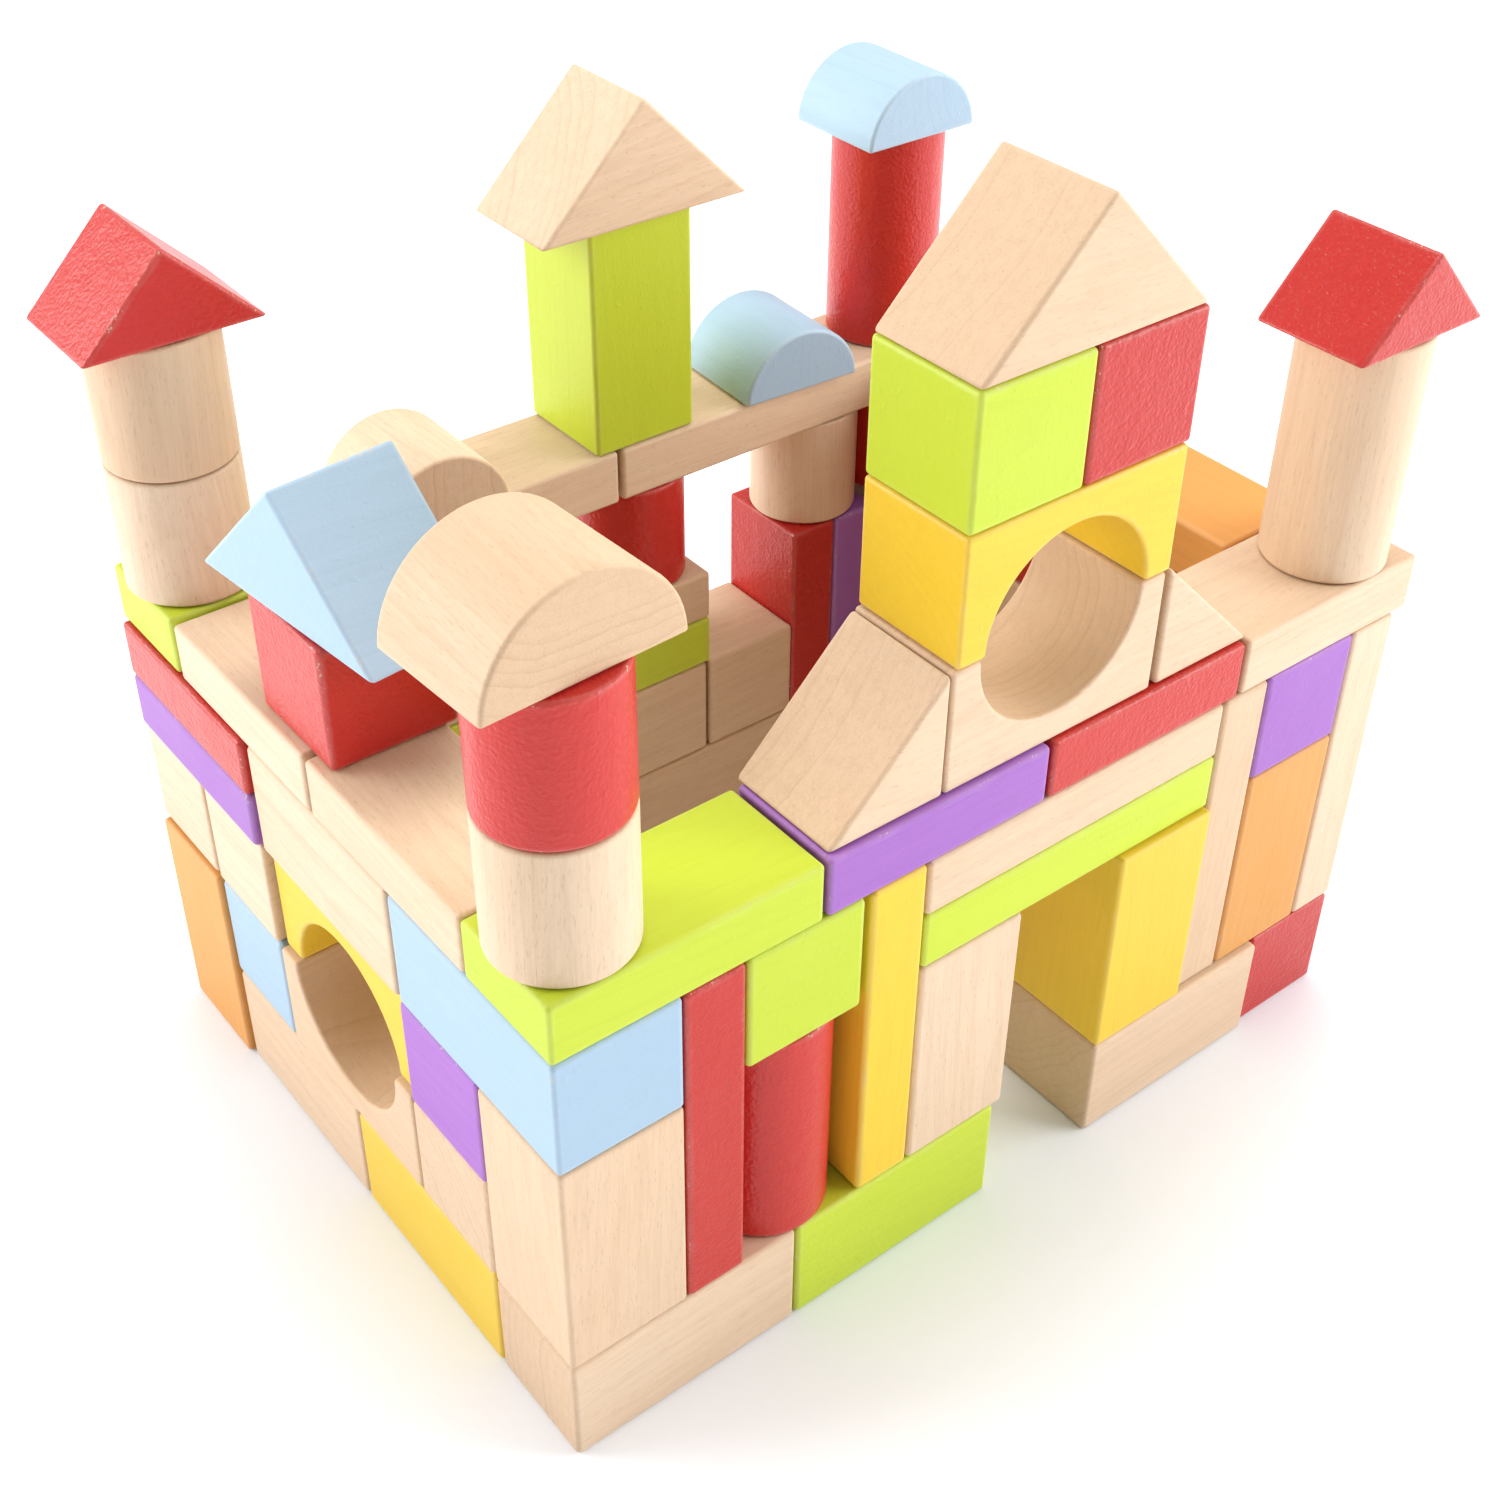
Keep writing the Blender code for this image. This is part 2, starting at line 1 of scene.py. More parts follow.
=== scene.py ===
"""Toy block castle: every loose wooden block, its bare or painted finish, and the stage it stands on."""

import json
import math
import random

import bmesh
import bpy
import numpy as np
from bpy.props import FloatProperty, FloatVectorProperty, IntProperty, PointerProperty
from bpy.types import Operator, Panel, PropertyGroup
from mathutils import Matrix, Vector


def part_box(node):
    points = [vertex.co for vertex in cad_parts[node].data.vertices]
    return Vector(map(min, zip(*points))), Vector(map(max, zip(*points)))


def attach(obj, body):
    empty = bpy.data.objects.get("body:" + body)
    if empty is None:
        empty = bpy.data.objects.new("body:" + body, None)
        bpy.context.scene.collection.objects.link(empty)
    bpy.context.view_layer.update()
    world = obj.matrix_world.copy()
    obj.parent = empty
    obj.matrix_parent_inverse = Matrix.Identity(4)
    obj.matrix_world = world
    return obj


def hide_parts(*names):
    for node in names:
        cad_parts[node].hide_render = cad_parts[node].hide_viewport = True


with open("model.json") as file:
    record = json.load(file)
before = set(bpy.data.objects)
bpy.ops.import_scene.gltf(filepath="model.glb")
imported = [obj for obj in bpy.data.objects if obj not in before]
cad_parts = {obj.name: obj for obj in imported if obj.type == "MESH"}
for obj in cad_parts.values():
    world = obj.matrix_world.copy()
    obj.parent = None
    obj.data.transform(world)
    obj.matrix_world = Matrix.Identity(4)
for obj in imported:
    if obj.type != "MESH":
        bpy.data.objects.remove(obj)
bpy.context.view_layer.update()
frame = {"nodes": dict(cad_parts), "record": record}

bl_info = {
    "name": "Toy Block Castle",
    "version": (1, 0, 0),
    "blender": (4, 5, 0),
    "location": "View3D > Sidebar > Castle",
    "description": "Builds a castle of loose wooden blocks, bare and painted",
    "category": "Add Mesh",
}

# ---------------------------------------------------------------- sizes of the blocks


def low(node):
    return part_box(node)[0]


def high(node):
    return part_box(node)[1]


def size(node):
    return high(node) - low(node)


CORNER = low("left_front_natural")  # low front left corner of the castle
CUBE = size("base_red_cube").x
LONG = size("base_green").x
PLANK = size("cap_green").z
TRIPLE = size("gate_green_lintel").x
DRUM_ACROSS = size("front_left_natural_drum").x
DRUM_TALL = size("front_left_natural_drum").z
PITCH = low("left_blue_corner").z / 3  # from the underside of one course to the next
SEAT = PITCH - CUBE  # gap under a block that stands on another
SIDE = low("base_green").x - CORNER.x - LONG  # gap beside a block in a row
LOOSE = low("cap_purple").x - high("cap_green").x  # gap beside a block set down by hand
SIDE_Y = low("left_purple_cube").y
WINDOW_Y = low("left_yellow_arch").y
BACK_Y = low("back_green_plank").y
LOOSE_CUBE_Y = low("left_purple_plank").y
LOOSE_CORNER_Y = low("back_left_green_plank").y
CAP_JOINT_Y = SIDE_Y + LONG + LOOSE
GATE_LEFT_X = low("gate_left_column").x
GATE_RIGHT_X = low("gate_yellow_column").x
LAST_UPRIGHT_X = high("front_orange_column").x + SIDE
RIGHT_X = low("right_orange_cap").x
BACK_FIRST_X = CORNER.x + CUBE + SIDE - (CORNER.x - low("left_orange_column").x)
BACK_SECOND_X = BACK_FIRST_X + CUBE + SIDE
BACK_THIRD_X = BACK_SECOND_X + LONG + SIDE
SILL_X = low("back_green_plank").x
BACK_JOINT_X = low("back_right_natural").x
BACK_PLANK_Z = high("back_right_natural").z - PLANK
LEFT_PLANK_X = BACK_JOINT_X - LOOSE - LONG
PURPLE_X = low("back_purple_upright").x


def level(number):
    """Underside of a course. Halves are the plank courses."""
    return number * PITCH


def tall(levels):
    """Height of a block that fills this many courses."""
    return levels * PITCH - SEAT


LONG_X = (LONG, CUBE, CUBE)
LONG_Y = (CUBE, LONG, CUBE)
CUBED = (CUBE, CUBE, CUBE)
COLUMN = (CUBE, CUBE, tall(2))
UPRIGHT = (PLANK, CUBE, tall(3))
PLANK_X = (LONG, CUBE, PLANK)
PLANK_Y = (CUBE, LONG, PLANK)
TRIPLE_PLANK = (TRIPLE, CUBE, PLANK)
LONG_PLANK = (2 * LONG, CUBE, PLANK)

# Blocks that are one CAD node each: the shape, then the node names
CUT_BLOCKS = (
    "base_green base_red_cube front_red_upright front_green_cube front_yellow_upright "
    "gate_left_column gate_yellow_column gate_green_lintel front_orange_column front_purple_cube "
    "cap_green cap_purple cap_red cap_natural gatehouse_green_cube gatehouse_red_cube "
    "left_yellow_base left_orange_column left_blue_cube left_purple_cube left_blue_corner "
    "left_purple_plank left_red_plank left_house_red_cube back_green_plank back_red_upright "
    "back_purple_upright back_green_column back_left_green_plank"
).split()
DRUMS = (
    "front_long_red_drum front_left_natural_drum front_left_red_drum front_right_natural_drum "
    "back_left_lower_drum back_left_upper_drum back_red_drum back_corner_red_drum back_right_red_drum"
).split()

# Blocks that share a CAD node with others: node, block, low corner, size
X0 = CORNER.x
Y0 = CORNER.y
JOINED_BLOCKS = (
    ("left_front_natural", "left_front_base", (X0, Y0, 0), LONG_X),
    ("left_front_natural", "left_corner_column", (X0, Y0, level(1)), COLUMN),
    ("left_front_natural", "left_window_cube", (X0, SIDE_Y, level(1)), CUBED),
    ("left_front_natural", "left_back_base", (X0, SIDE_Y + LONG + SIDE, 0), LONG_Y),
    ("left_top_natural", "left_top_block", (X0, WINDOW_Y, level(3)), LONG_Y),
    ("left_top_natural", "left_front_cap", (X0, SIDE_Y, level(4)), PLANK_Y),
    ("left_top_natural", "left_back_cap", (X0, CAP_JOINT_Y, level(4)), PLANK_Y),
    ("gate_right_natural", "gate_right_base", (GATE_RIGHT_X, low("gate_right_natural").y, 0), LONG_X),
    ("gate_right_natural", "gate_upright", (GATE_RIGHT_X + CUBE + SIDE, Y0, level(1)), UPRIGHT),
    ("gate_right_natural", "gate_natural_lintel", (GATE_LEFT_X, Y0, level(3.5)), TRIPLE_PLANK),
    ("right_natural", "right_front_upright", (LAST_UPRIGHT_X, Y0, level(1)), UPRIGHT),
    ("right_natural", "right_base_front", (RIGHT_X, SIDE_Y, 0), LONG_Y),
    ("right_natural", "right_base_beyond", (RIGHT_X, CAP_JOINT_Y, 0), LONG_Y),
    ("right_natural", "right_second_front", (RIGHT_X, SIDE_Y, level(1)), LONG_Y),
    ("right_natural", "right_second_beyond", (RIGHT_X, CAP_JOINT_Y, level(1)), LONG_Y),
    ("right_natural", "right_third_front", (RIGHT_X, SIDE_Y, level(2)), LONG_Y),
    ("right_natural", "right_third_beyond", (RIGHT_X, CAP_JOINT_Y, level(2)), LONG_Y),
    ("right_natural", "right_corner_column", (RIGHT_X, BACK_Y, 0), COLUMN),
    ("right_natural", "right_corner_cube", (RIGHT_X, BACK_Y, level(2)), CUBED),
    ("right_red", "right_red_front", (RIGHT_X, SIDE_Y, level(3)), LONG_Y),
    ("right_red", "right_red_beyond", (RIGHT_X, CAP_JOINT_Y, level(3)), LONG_Y),
    ("right_orange_cap", "right_orange_cap_front", (RIGHT_X, SIDE_Y, level(4)), PLANK_Y),
    ("right_orange_cap", "right_orange_cap_beyond", (RIGHT_X, CAP_JOINT_Y, level(4)), PLANK_Y),
    ("back_natural", "back_base_first", (BACK_FIRST_X, BACK_Y, 0), CUBED),
    ("back_natural", "back_base_second", (BACK_SECOND_X, BACK_Y, 0), LONG_X),
    ("back_natural", "back_base_third", (BACK_THIRD_X, BACK_Y, 0), LONG_X),
    ("back_natural", "back_upper_first", (BACK_FIRST_X, BACK_Y, level(1)), LONG_X),
    ("back_natural", "back_upper_second", (BACK_FIRST_X + LONG + SIDE, BACK_Y, level(1)), LONG_X),
    ("back_natural", "back_sill_cube", (BACK_THIRD_X + CUBE + SIDE, BACK_Y, level(1)), CUBED),
    ("back_natural", "back_third_cube", (X0 + CUBE + SIDE, BACK_Y, level(2)), CUBED),
    ("back_natural", "back_natural_plank", (SILL_X, BACK_Y, level(2.5)), TRIPLE_PLANK),
    ("back_natural", "back_left_plank", (LEFT_PLANK_X, BACK_Y, BACK_PLANK_Z), PLANK_X),
    ("back_natural", "left_loose_cube", (X0, LOOSE_CUBE_Y, level(2)), CUBED),
    ("back_natural", "left_corner_cube", (X0, LOOSE_CORNER_Y, level(2)), CUBED),
    ("back_right_natural", "back_right_plank", (BACK_JOINT_X, BACK_Y, BACK_PLANK_Z), LONG_PLANK),
)
DRUM_Y = BACK_Y + DRUM_ACROSS / 2
JOINED_DRUMS = (
    ("back_natural", "back_hidden_drum", (LEFT_PLANK_X + DRUM_ACROSS / 2, DRUM_Y, level(3))),
    ("back_right_natural", "back_natural_drum", (PURPLE_X - SIDE, DRUM_Y, level(3))),
)
COLOURS = ("red", "green", "yellow", "blue", "purple", "orange")


def colour_of(node):
    """A block's colour is the first colour word in its node's name, and bare wood without one."""
    for word in node.split("_"):
        if word in COLOURS:
            return word
    return "natural"


# ---------------------------------------------------------------- what a user would change


class BlockSizes(PropertyGroup):
    """How the blocks are eased and sanded."""

    edge_radius: FloatProperty(
        name="Edge radius",
        description="Rounding of the edges of the cut blocks",
        default=0.0011,
        min=0.0004,
        max=0.004,
        unit="LENGTH",
    )
    roof_radius: FloatProperty(
        name="Roof edge",
        description="How far the rounding runs along each side of a roof's or ramp's edge",
        default=0.0010,
        min=0.0004,
        max=0.003,
        unit="LENGTH",
    )
    rim_radius: FloatProperty(
        name="Rim radius",
        description="Rounding of the rims of drums, half-rounds and arches",
        default=0.0009,
        min=0.0004,
        max=0.003,
        unit="LENGTH",
    )
    wear_width: FloatProperty(
        name="Wear width",
        description="How far the wear of an edge runs onto the flat",
        default=0.0011,
        min=0.0003,
        max=0.003,
        unit="LENGTH",
    )
    rim_segments: IntProperty(
        name="Rim segments",
        description="Steps across a rounded edge",
        default=4,
        min=2,
        max=8,
    )
    seed: IntProperty(
        name="Timber seed",
        description="Which part of the tree each block is cut from",
        default=11,
        min=0,
    )


def tint(name, colour, note):
    return FloatVectorProperty(
        name=name, description=note, default=colour, subtype="COLOR", size=3, min=0.0, max=1.0
    )


def wattage(name, power, note):
    return FloatProperty(name=name, description=note, default=power, min=0.0, unit="POWER")


class BlockColours(PropertyGroup):
    """The bare timber and the six paints."""

    natural: tint("Bare timber", (0.805, 0.650, 0.490), "Pale sanded timber")
    late_wood: tint("Late wood", (0.610, 0.390, 0.225), "The darker line of each growth ring")
    end_grain: tint("End grain", (0.520, 0.335, 0.195), "Timber cut across the fibres")
    red: tint("Red", (0.560, 0.024, 0.018), "Red paint")
    green: tint("Green", (0.565, 0.690, 0.032), "Lime green stain")
    yellow: tint("Yellow", (0.830, 0.555, 0.026), "Yellow paint")
    blue: tint("Blue", (0.405, 0.575, 0.740), "Pale blue stain")
    purple: tint("Purple", (0.360, 0.130, 0.530), "Purple stain")
    orange: tint("Orange", (0.770, 0.345, 0.070), "Orange stain")


class CastleStage(PropertyGroup):
    """Floor, lights and camera."""

    floor_colour: tint("Floor", (0.86, 0.89, 0.94), "Pale floor and surroundings")
    sky_strength: FloatProperty(
        name="Surroundings",
        description="Strength of the even light from all round",
        default=0.74,
        min=0.0,
    )
    left_power: wattage("Left light", 12.6, "Power of the large light on the left")
    right_power: wattage("Right light", 12.6, "Power of the large light on the right")
    top_power: wattage("Top light", 8.5, "Power of the large light overhead")
    floor_glow: FloatProperty(
        name="Floor glow",
        description="Light that the far floor gives off, which keeps it white",
        default=0.55,
        min=0.0,
    )
    lens: FloatProperty(
        name="Lens",
        description="Focal length on a 36 mm wide frame",
        default=49.08,
        min=10.0,
        unit="CAMERA",
    )


# ---------------------------------------------------------------- shader node groups


def socket(group, name, kind, inward=True, default=None):
    made = group.interface.new_socket(
        name=name, in_out="INPUT" if inward else "OUTPUT", socket_type=f"NodeSocket{kind}"
    )
    if default is not None:
        made.default_value = default
    return made


class Sketch:
    """Short words for adding nodes to a tree."""

    def __init__(self, tree):
        self.tree = tree

    def node(self, kind, **settings):
        made = self.tree.nodes.new(kind)
        for name, value in settings.items():
            setattr(made, name, value)
        return made

    def feed(self, target, value):
        if isinstance(value, bpy.types.NodeSocket):
            self.tree.links.new(value, target)
        elif value is not None:
            target.default_value = value

    def math(self, operation, *values, clamp=False):
        made = self.node("ShaderNodeMath", operation=operation, use_clamp=clamp)
        for index, value in enumerate(values):
            self.feed(made.inputs[index], value)
        return made.outputs[0]

    def vector(self, operation, *values):
        made = self.node("ShaderNodeVectorMath", operation=operation)
        for index, value in enumerate(values):
            self.feed(made.inputs[index], value)
        return made.outputs["Value" if operation == "LENGTH" else "Vector"]

    def scaled(self, vector, amount):
        made = self.node("ShaderNodeVectorMath", operation="SCALE")
        self.feed(made.inputs[0], vector)
        self.feed(made.inputs["Scale"], amount)
        return made.outputs["Vector"]

    def same(self, value):
        """A vector with this value on every axis."""
        made = self.node("ShaderNodeCombineXYZ")
        for axis in made.inputs:
            self.feed(axis, value)
        return made.outputs[0]

    def noise(self, vector, scale, detail=2.0, roughness=0.5, distortion=0.0):
        made = self.node("ShaderNodeTexNoise", noise_dimensions="3D", normalize=True)
        self.feed(made.inputs["Vector"], vector)
        self.feed(made.inputs["Scale"], scale)
        self.feed(made.inputs["Detail"], detail)
        self.feed(made.inputs["Roughness"], roughness)
        self.feed(made.inputs["Distortion"], distortion)
        return made.outputs[0]

    def ramp(self, value, low_in, high_in, low_out=0.0, high_out=1.0, smooth=True):
        made = self.node(
            "ShaderNodeMapRange", interpolation_type="SMOOTHSTEP" if smooth else "LINEAR", clamp=True
        )
        limits = {"From Min": low_in, "From Max": high_in, "To Min": low_out, "To Max": high_out}
        for name, given in {"Value": value, **limits}.items():
            self.feed(made.inputs[name], given)
        return made.outputs[0]

    def mix(self, factor, first, second, blend="MIX"):
        made = self.node("ShaderNodeMix", data_type="RGBA", blend_type=blend, clamp_result=False)
        self.feed(made.inputs["Factor"], factor)
        self.feed(made.inputs[6], first)
        self.feed(made.inputs[7], second)
        return made.outputs[2]

    def stretched(self, vector, along, across):
        """Coordinates that are stretched along the fibres."""
        made = self.node("ShaderNodeMapping", vector_type="POINT")
        self.feed(made.inputs["Vector"], vector)
        made.inputs["Scale"].default_value = (along, across, across)
        return made.outputs[0]


def new_group(name):
    group = bpy.data.node_groups.new(name, "ShaderNodeTree")
    return group, Sketch(group)


# Repeats for each metre, along and across the fibres
WAVE = (9.0, 34.0)
RIPPLE = (45.0, 260.0)
FINE_FIBRE = (55.0, 1900.0)
COARSE_FIBRE = (16.0, 420.0)
FLECK = (420.0, 2600.0)
DRIFT = (14.0, 40.0)
# How far the rings wander, and the part of a ring where its dark line ends
WAVE_DEPTH = 0.0075
RIPPLE_DEPTH = 0.0009
RING_END = 0.93
# Repeats for each metre in a worn edge and in a coat of paint
WORN_PATCH = 110.0
WORN_SPECK = 900.0
PEEL = 1050.0
SWELL = 260.0
NIB = 520.0
GLOSS_PATCH = 60.0
RELIEF = 0.00016  # depth of the grain and of the coat


def timber_group():
    """Growth rings, fibres and flecks of pale timber, from coordinates that run along the fibres."""
    if "Timber" in bpy.data.node_groups:
        return bpy.data.node_groups["Timber"]
    group, s = new_group("Timber")
    socket(group, "Grain", "Vector")
    socket(group, "Ring Width", "Float", default=0.0026)
    socket(group, "Rings", "Float", inward=False)
    socket(group, "Fibres", "Float", inward=False)
    socket(group, "Flecks", "Float", inward=False)
    socket(group, "Drift", "Float", inward=False)
    socket(group, "Height", "Float", inward=False)
    given = s.node("NodeGroupInput")
    put = s.node("NodeGroupOutput")
    grain = given.outputs["Grain"]
    # Rings lie round the heart of the tree, which runs along X
    apart = s.node("ShaderNodeSeparateXYZ")
    s.feed(apart.inputs[0], grain)
    joined = s.node("ShaderNodeCombineXYZ")
    s.feed(joined.inputs[1], apart.outputs[1])
    s.feed(joined.inputs[2], apart.outputs[2])
    radius = s.vector("LENGTH", joined.outputs[0])
    wave = s.noise(s.stretched(grain, *WAVE), 1.0, 2.0, 0.5)
    ripple = s.noise(s.stretched(grain, *RIPPLE), 1.0, 2.0, 0.5)
    waved = s.math("MULTIPLY_ADD", wave, WAVE_DEPTH, radius)
    waved = s.math("MULTIPLY_ADD", ripple, RIPPLE_DEPTH, waved)
    turn = s.math("DIVIDE", waved, given.outputs["Ring Width"])
    place = s.math("FRACT", turn)
    # The line darkens slowly and ends sharply
    rise = s.math("POWER", place, 5.0)
    fall = s.ramp(place, RING_END, 1.0, 1.0, 0.0)
    line = s.math("MULTIPLY", rise, fall)
    year = s.math("FLOOR", turn)
    years = s.node("ShaderNodeTexWhiteNoise", noise_dimensions="1D")
    s.feed(years.inputs["W"], year)
    strong = s.ramp(years.outputs["Value"], 0.1, 0.95, 0.15, 1.0, smooth=False)
    line = s.math("MULTIPLY", line, strong)
    band = s.math("MULTIPLY", place, s.math("MULTIPLY", strong, 0.30))
    rings = s.math("MULTIPLY_ADD", line, 0.9, band, clamp=True)
    # Fibres are long and thin on the sides, and round pores on the ends
    fine = s.noise(s.stretched(grain, *FINE_FIBRE), 1.0, 3.0, 0.6)
    coarse = s.noise(s.stretched(grain, *COARSE_FIBRE), 1.0, 3.0, 0.55)
    fibres = s.math("ADD", s.math("MULTIPLY", fine, 0.5), s.math("MULTIPLY", coarse, 0.5))
    fleck = s.noise(s.stretched(grain, *FLECK), 1.0, 1.0, 0.5)
    flecks = s.ramp(fleck, 0.60, 0.76)
    drift = s.noise(s.stretched(grain, *DRIFT), 1.0, 2.0, 0.5)
    # Height of the surface: fibres stand up a little, late wood lies a little proud
    height = s.math("MULTIPLY_ADD", fine, 0.55, s.math("MULTIPLY", line, 0.5))
    height = s.math("MULTIPLY_ADD", flecks, -0.5, height)
    for name, value in (
        ("Rings", rings), ("Fibres", fibres), ("Flecks", flecks), ("Drift", drift), ("Height", height)
    ):
        s.feed(put.inputs[name], value)
    return group


def edge_wear_and_highlight_group():
    """Where handling has rubbed an edge: a soft line along it, with a few small knocks. On paint the
    soft line also carries a painted highlight along the edge.
    """
    if "Worn edge and highlight" in bpy.data.node_groups:
        return bpy.data.node_groups["Worn edge and highlight"]
    group, s = new_group("Worn edge and highlight")
    socket(group, "Grain", "Vector")
    socket(group, "Edge", "Float", default=0.0)
    socket(group, "Amount", "Float", default=0.5)
    socket(group, "Rubbed And Highlit", "Float", inward=False)
    socket(group, "Knocks", "Float", inward=False)
    given = s.node("NodeGroupInput")
    put = s.node("NodeGroupOutput")
    patch = s.noise(given.outputs["Grain"], WORN_PATCH, 3.0, 0.6)
    speck = s.noise(given.outputs["Grain"], WORN_SPECK, 3.0, 0.65)
    edge = s.math("MULTIPLY_ADD", s.math("SUBTRACT", patch, 0.5), 1.1, given.outputs["Edge"])
    # The soft line along an edge: real rubbing, and on paint also a painted highlight
    rubbed = s.math("MULTIPLY", s.ramp(edge, 0.35, 1.15), given.outputs["Amount"])
    bare = s.math("MULTIPLY_ADD", s.math("SUBTRACT", speck, 0.5), 2.2, edge)
    knocks = s.math("MULTIPLY", s.ramp(bare, 1.28, 1.42), given.outputs["Amount"], clamp=True)
    s.feed(put.inputs["Rubbed And Highlit"], rubbed)
    s.feed(put.inputs["Knocks"], knocks)
    return group


def paint_film_group():
    """The skin of a sprayed coat: fine orange peel, with slow swells and a few dust nibs."""
    if "Paint film" in bpy.data.node_groups:
        return bpy.data.node_groups["Paint film"]
    group, s = new_group("Paint film")
    socket(group, "Grain", "Vector")
    socket(group, "Peel", "Float", default=0.5)
    socket(group, "Height", "Float", inward=False)
    socket(group, "Gloss Patches", "Float", inward=False)
    given = s.node("NodeGroupInput")
    put = s.node("NodeGroupOutput")
    peel = s.noise(given.outputs["Grain"], PEEL, 1.5, 0.5)
    swell = s.noise(given.outputs["Grain"], SWELL, 1.0, 0.5)
    nib = s.ramp(s.noise(given.outputs["Grain"], NIB, 0.0, 0.5), 0.72, 0.82)
    height = s.math("MULTIPLY", peel, given.outputs["Peel"])
    height = s.math("MULTIPLY_ADD", swell, s.math("MULTIPLY", given.outputs["Peel"], 0.8), height)
    height = s.math("MULTIPLY_ADD", nib, 0.4, height)
    patches = s.noise(given.outputs["Grain"], GLOSS_PATCH, 2.0, 0.5)
    s.feed(put.inputs["Height"], height)
    s.feed(put.inputs["Gloss Patches"], patches)
    return group


# ---------------------------------------------------------------- materials


class Finish(Sketch):
    """A material with the marks that every block carries, and its Principled shader."""

    def __init__(self, name):
        self.material = bpy.data.materials.new(name)
        self.material.use_nodes = True
        super().__init__(self.material.node_tree)
        self.shader = self.material.node_tree.nodes["Principled BSDF"]
        self.grain = self.mark("grain", "Vector")
        self.edge = self.mark("edge", "Fac")
        self.end = self.mark("end", "Fac")
        self.tone = self.mark("tone", "Fac")

    def mark(self, name, output):
        return self.node("ShaderNodeAttribute", attribute_name=name).outputs[output]

    def group(self, tree, **inputs):
        made = self.node("ShaderNodeGroup", node_tree=tree)
        for name, value in inputs.items():
            self.feed(made.inputs[name.replace("_", " ").title()], value)
        return made.outputs

    def bump(self, height, distance, strength=1.0):
        made = self.node("ShaderNodeBump")
        made.inputs["Distance"].default_value = distance
        made.inputs["Strength"].default_value = strength
        self.feed(made.inputs["Height"], height)
        self.feed(self.shader.inputs["Normal"], made.outputs[0])


def opaque(colour):
    return (*colour, 1.0)


def timber_colour(s, colours, timber):
    """Colour of bare timber with its rings, fibres, flecks and the darker ends."""
    natural = Vector(colours.natural)
    late = Vector(colours.late_wood)
    # Most blocks are pale, and a few are clearly browner
    brown = s.math("POWER", s.tone, 2.0)
    body = s.mix(brown, opaque(natural * 1.03), opaque(natural.lerp(late, 0.5)))
    drifted = s.mix(s.math("MULTIPLY", timber["Drift"], 0.45), body, opaque(late * 1.25))
    # Some blocks show their rings clearly and others hardly at all
    shown = s.math("MULTIPLY_ADD", s.math("FRACT", s.math("MULTIPLY", s.tone, 7.3)), 0.30, 0.10)
    ringed = s.mix(s.math("MULTIPLY", timber["Rings"], shown), drifted, opaque(late))
    pale = s.ramp(timber["Fibres"], 0.38, 0.66)
    streaked = s.mix(s.math("MULTIPLY", pale, 0.22), ringed, opaque(late * 0.85))
    flecked = s.mix(s.math("MULTIPLY", timber["Flecks"], 0.24), streaked, opaque(late * 0.7))
    across = s.math("MULTIPLY", s.end, s.ramp(timber["Rings"], 0.0, 1.0, 0.34, 0.62))
    return s.mix(across, flecked, opaque(colours.end_grain))


def bare_timber(colours):
    """Sanded timber without a coat."""
    s = Finish("bare_timber")
    timber = s.group(timber_group(), grain=s.grain)
    worn = s.group(edge_wear_and_highlight_group(), grain=s.grain, edge=s.edge, amount=0.55)
    colour = timber_colour(s, colours, timber)
    darker = opaque(Vector(colours.late_wood) * 1.05)
    handled = s.mix(s.math("MULTIPLY", worn["Rubbed And Highlit"], 0.12), colour, darker)
    s.feed(s.shader.inputs["Base Color"], handled)
    rough = s.math("MULTIPLY_ADD", timber["Fibres"], 0.18, 0.42)
    rough = s.math("MULTIPLY_ADD", s.end, 0.12, rough)
    rough = s.math("MULTIPLY_ADD", worn["Rubbed And Highlit"], -0.12, rough)
    s.feed(s.shader.inputs["Roughness"], rough)
    s.shader.inputs["Specular IOR Level"].default_value = 0.26
    s.bump(timber["Height"], RELIEF, 0.55)
    return s.material


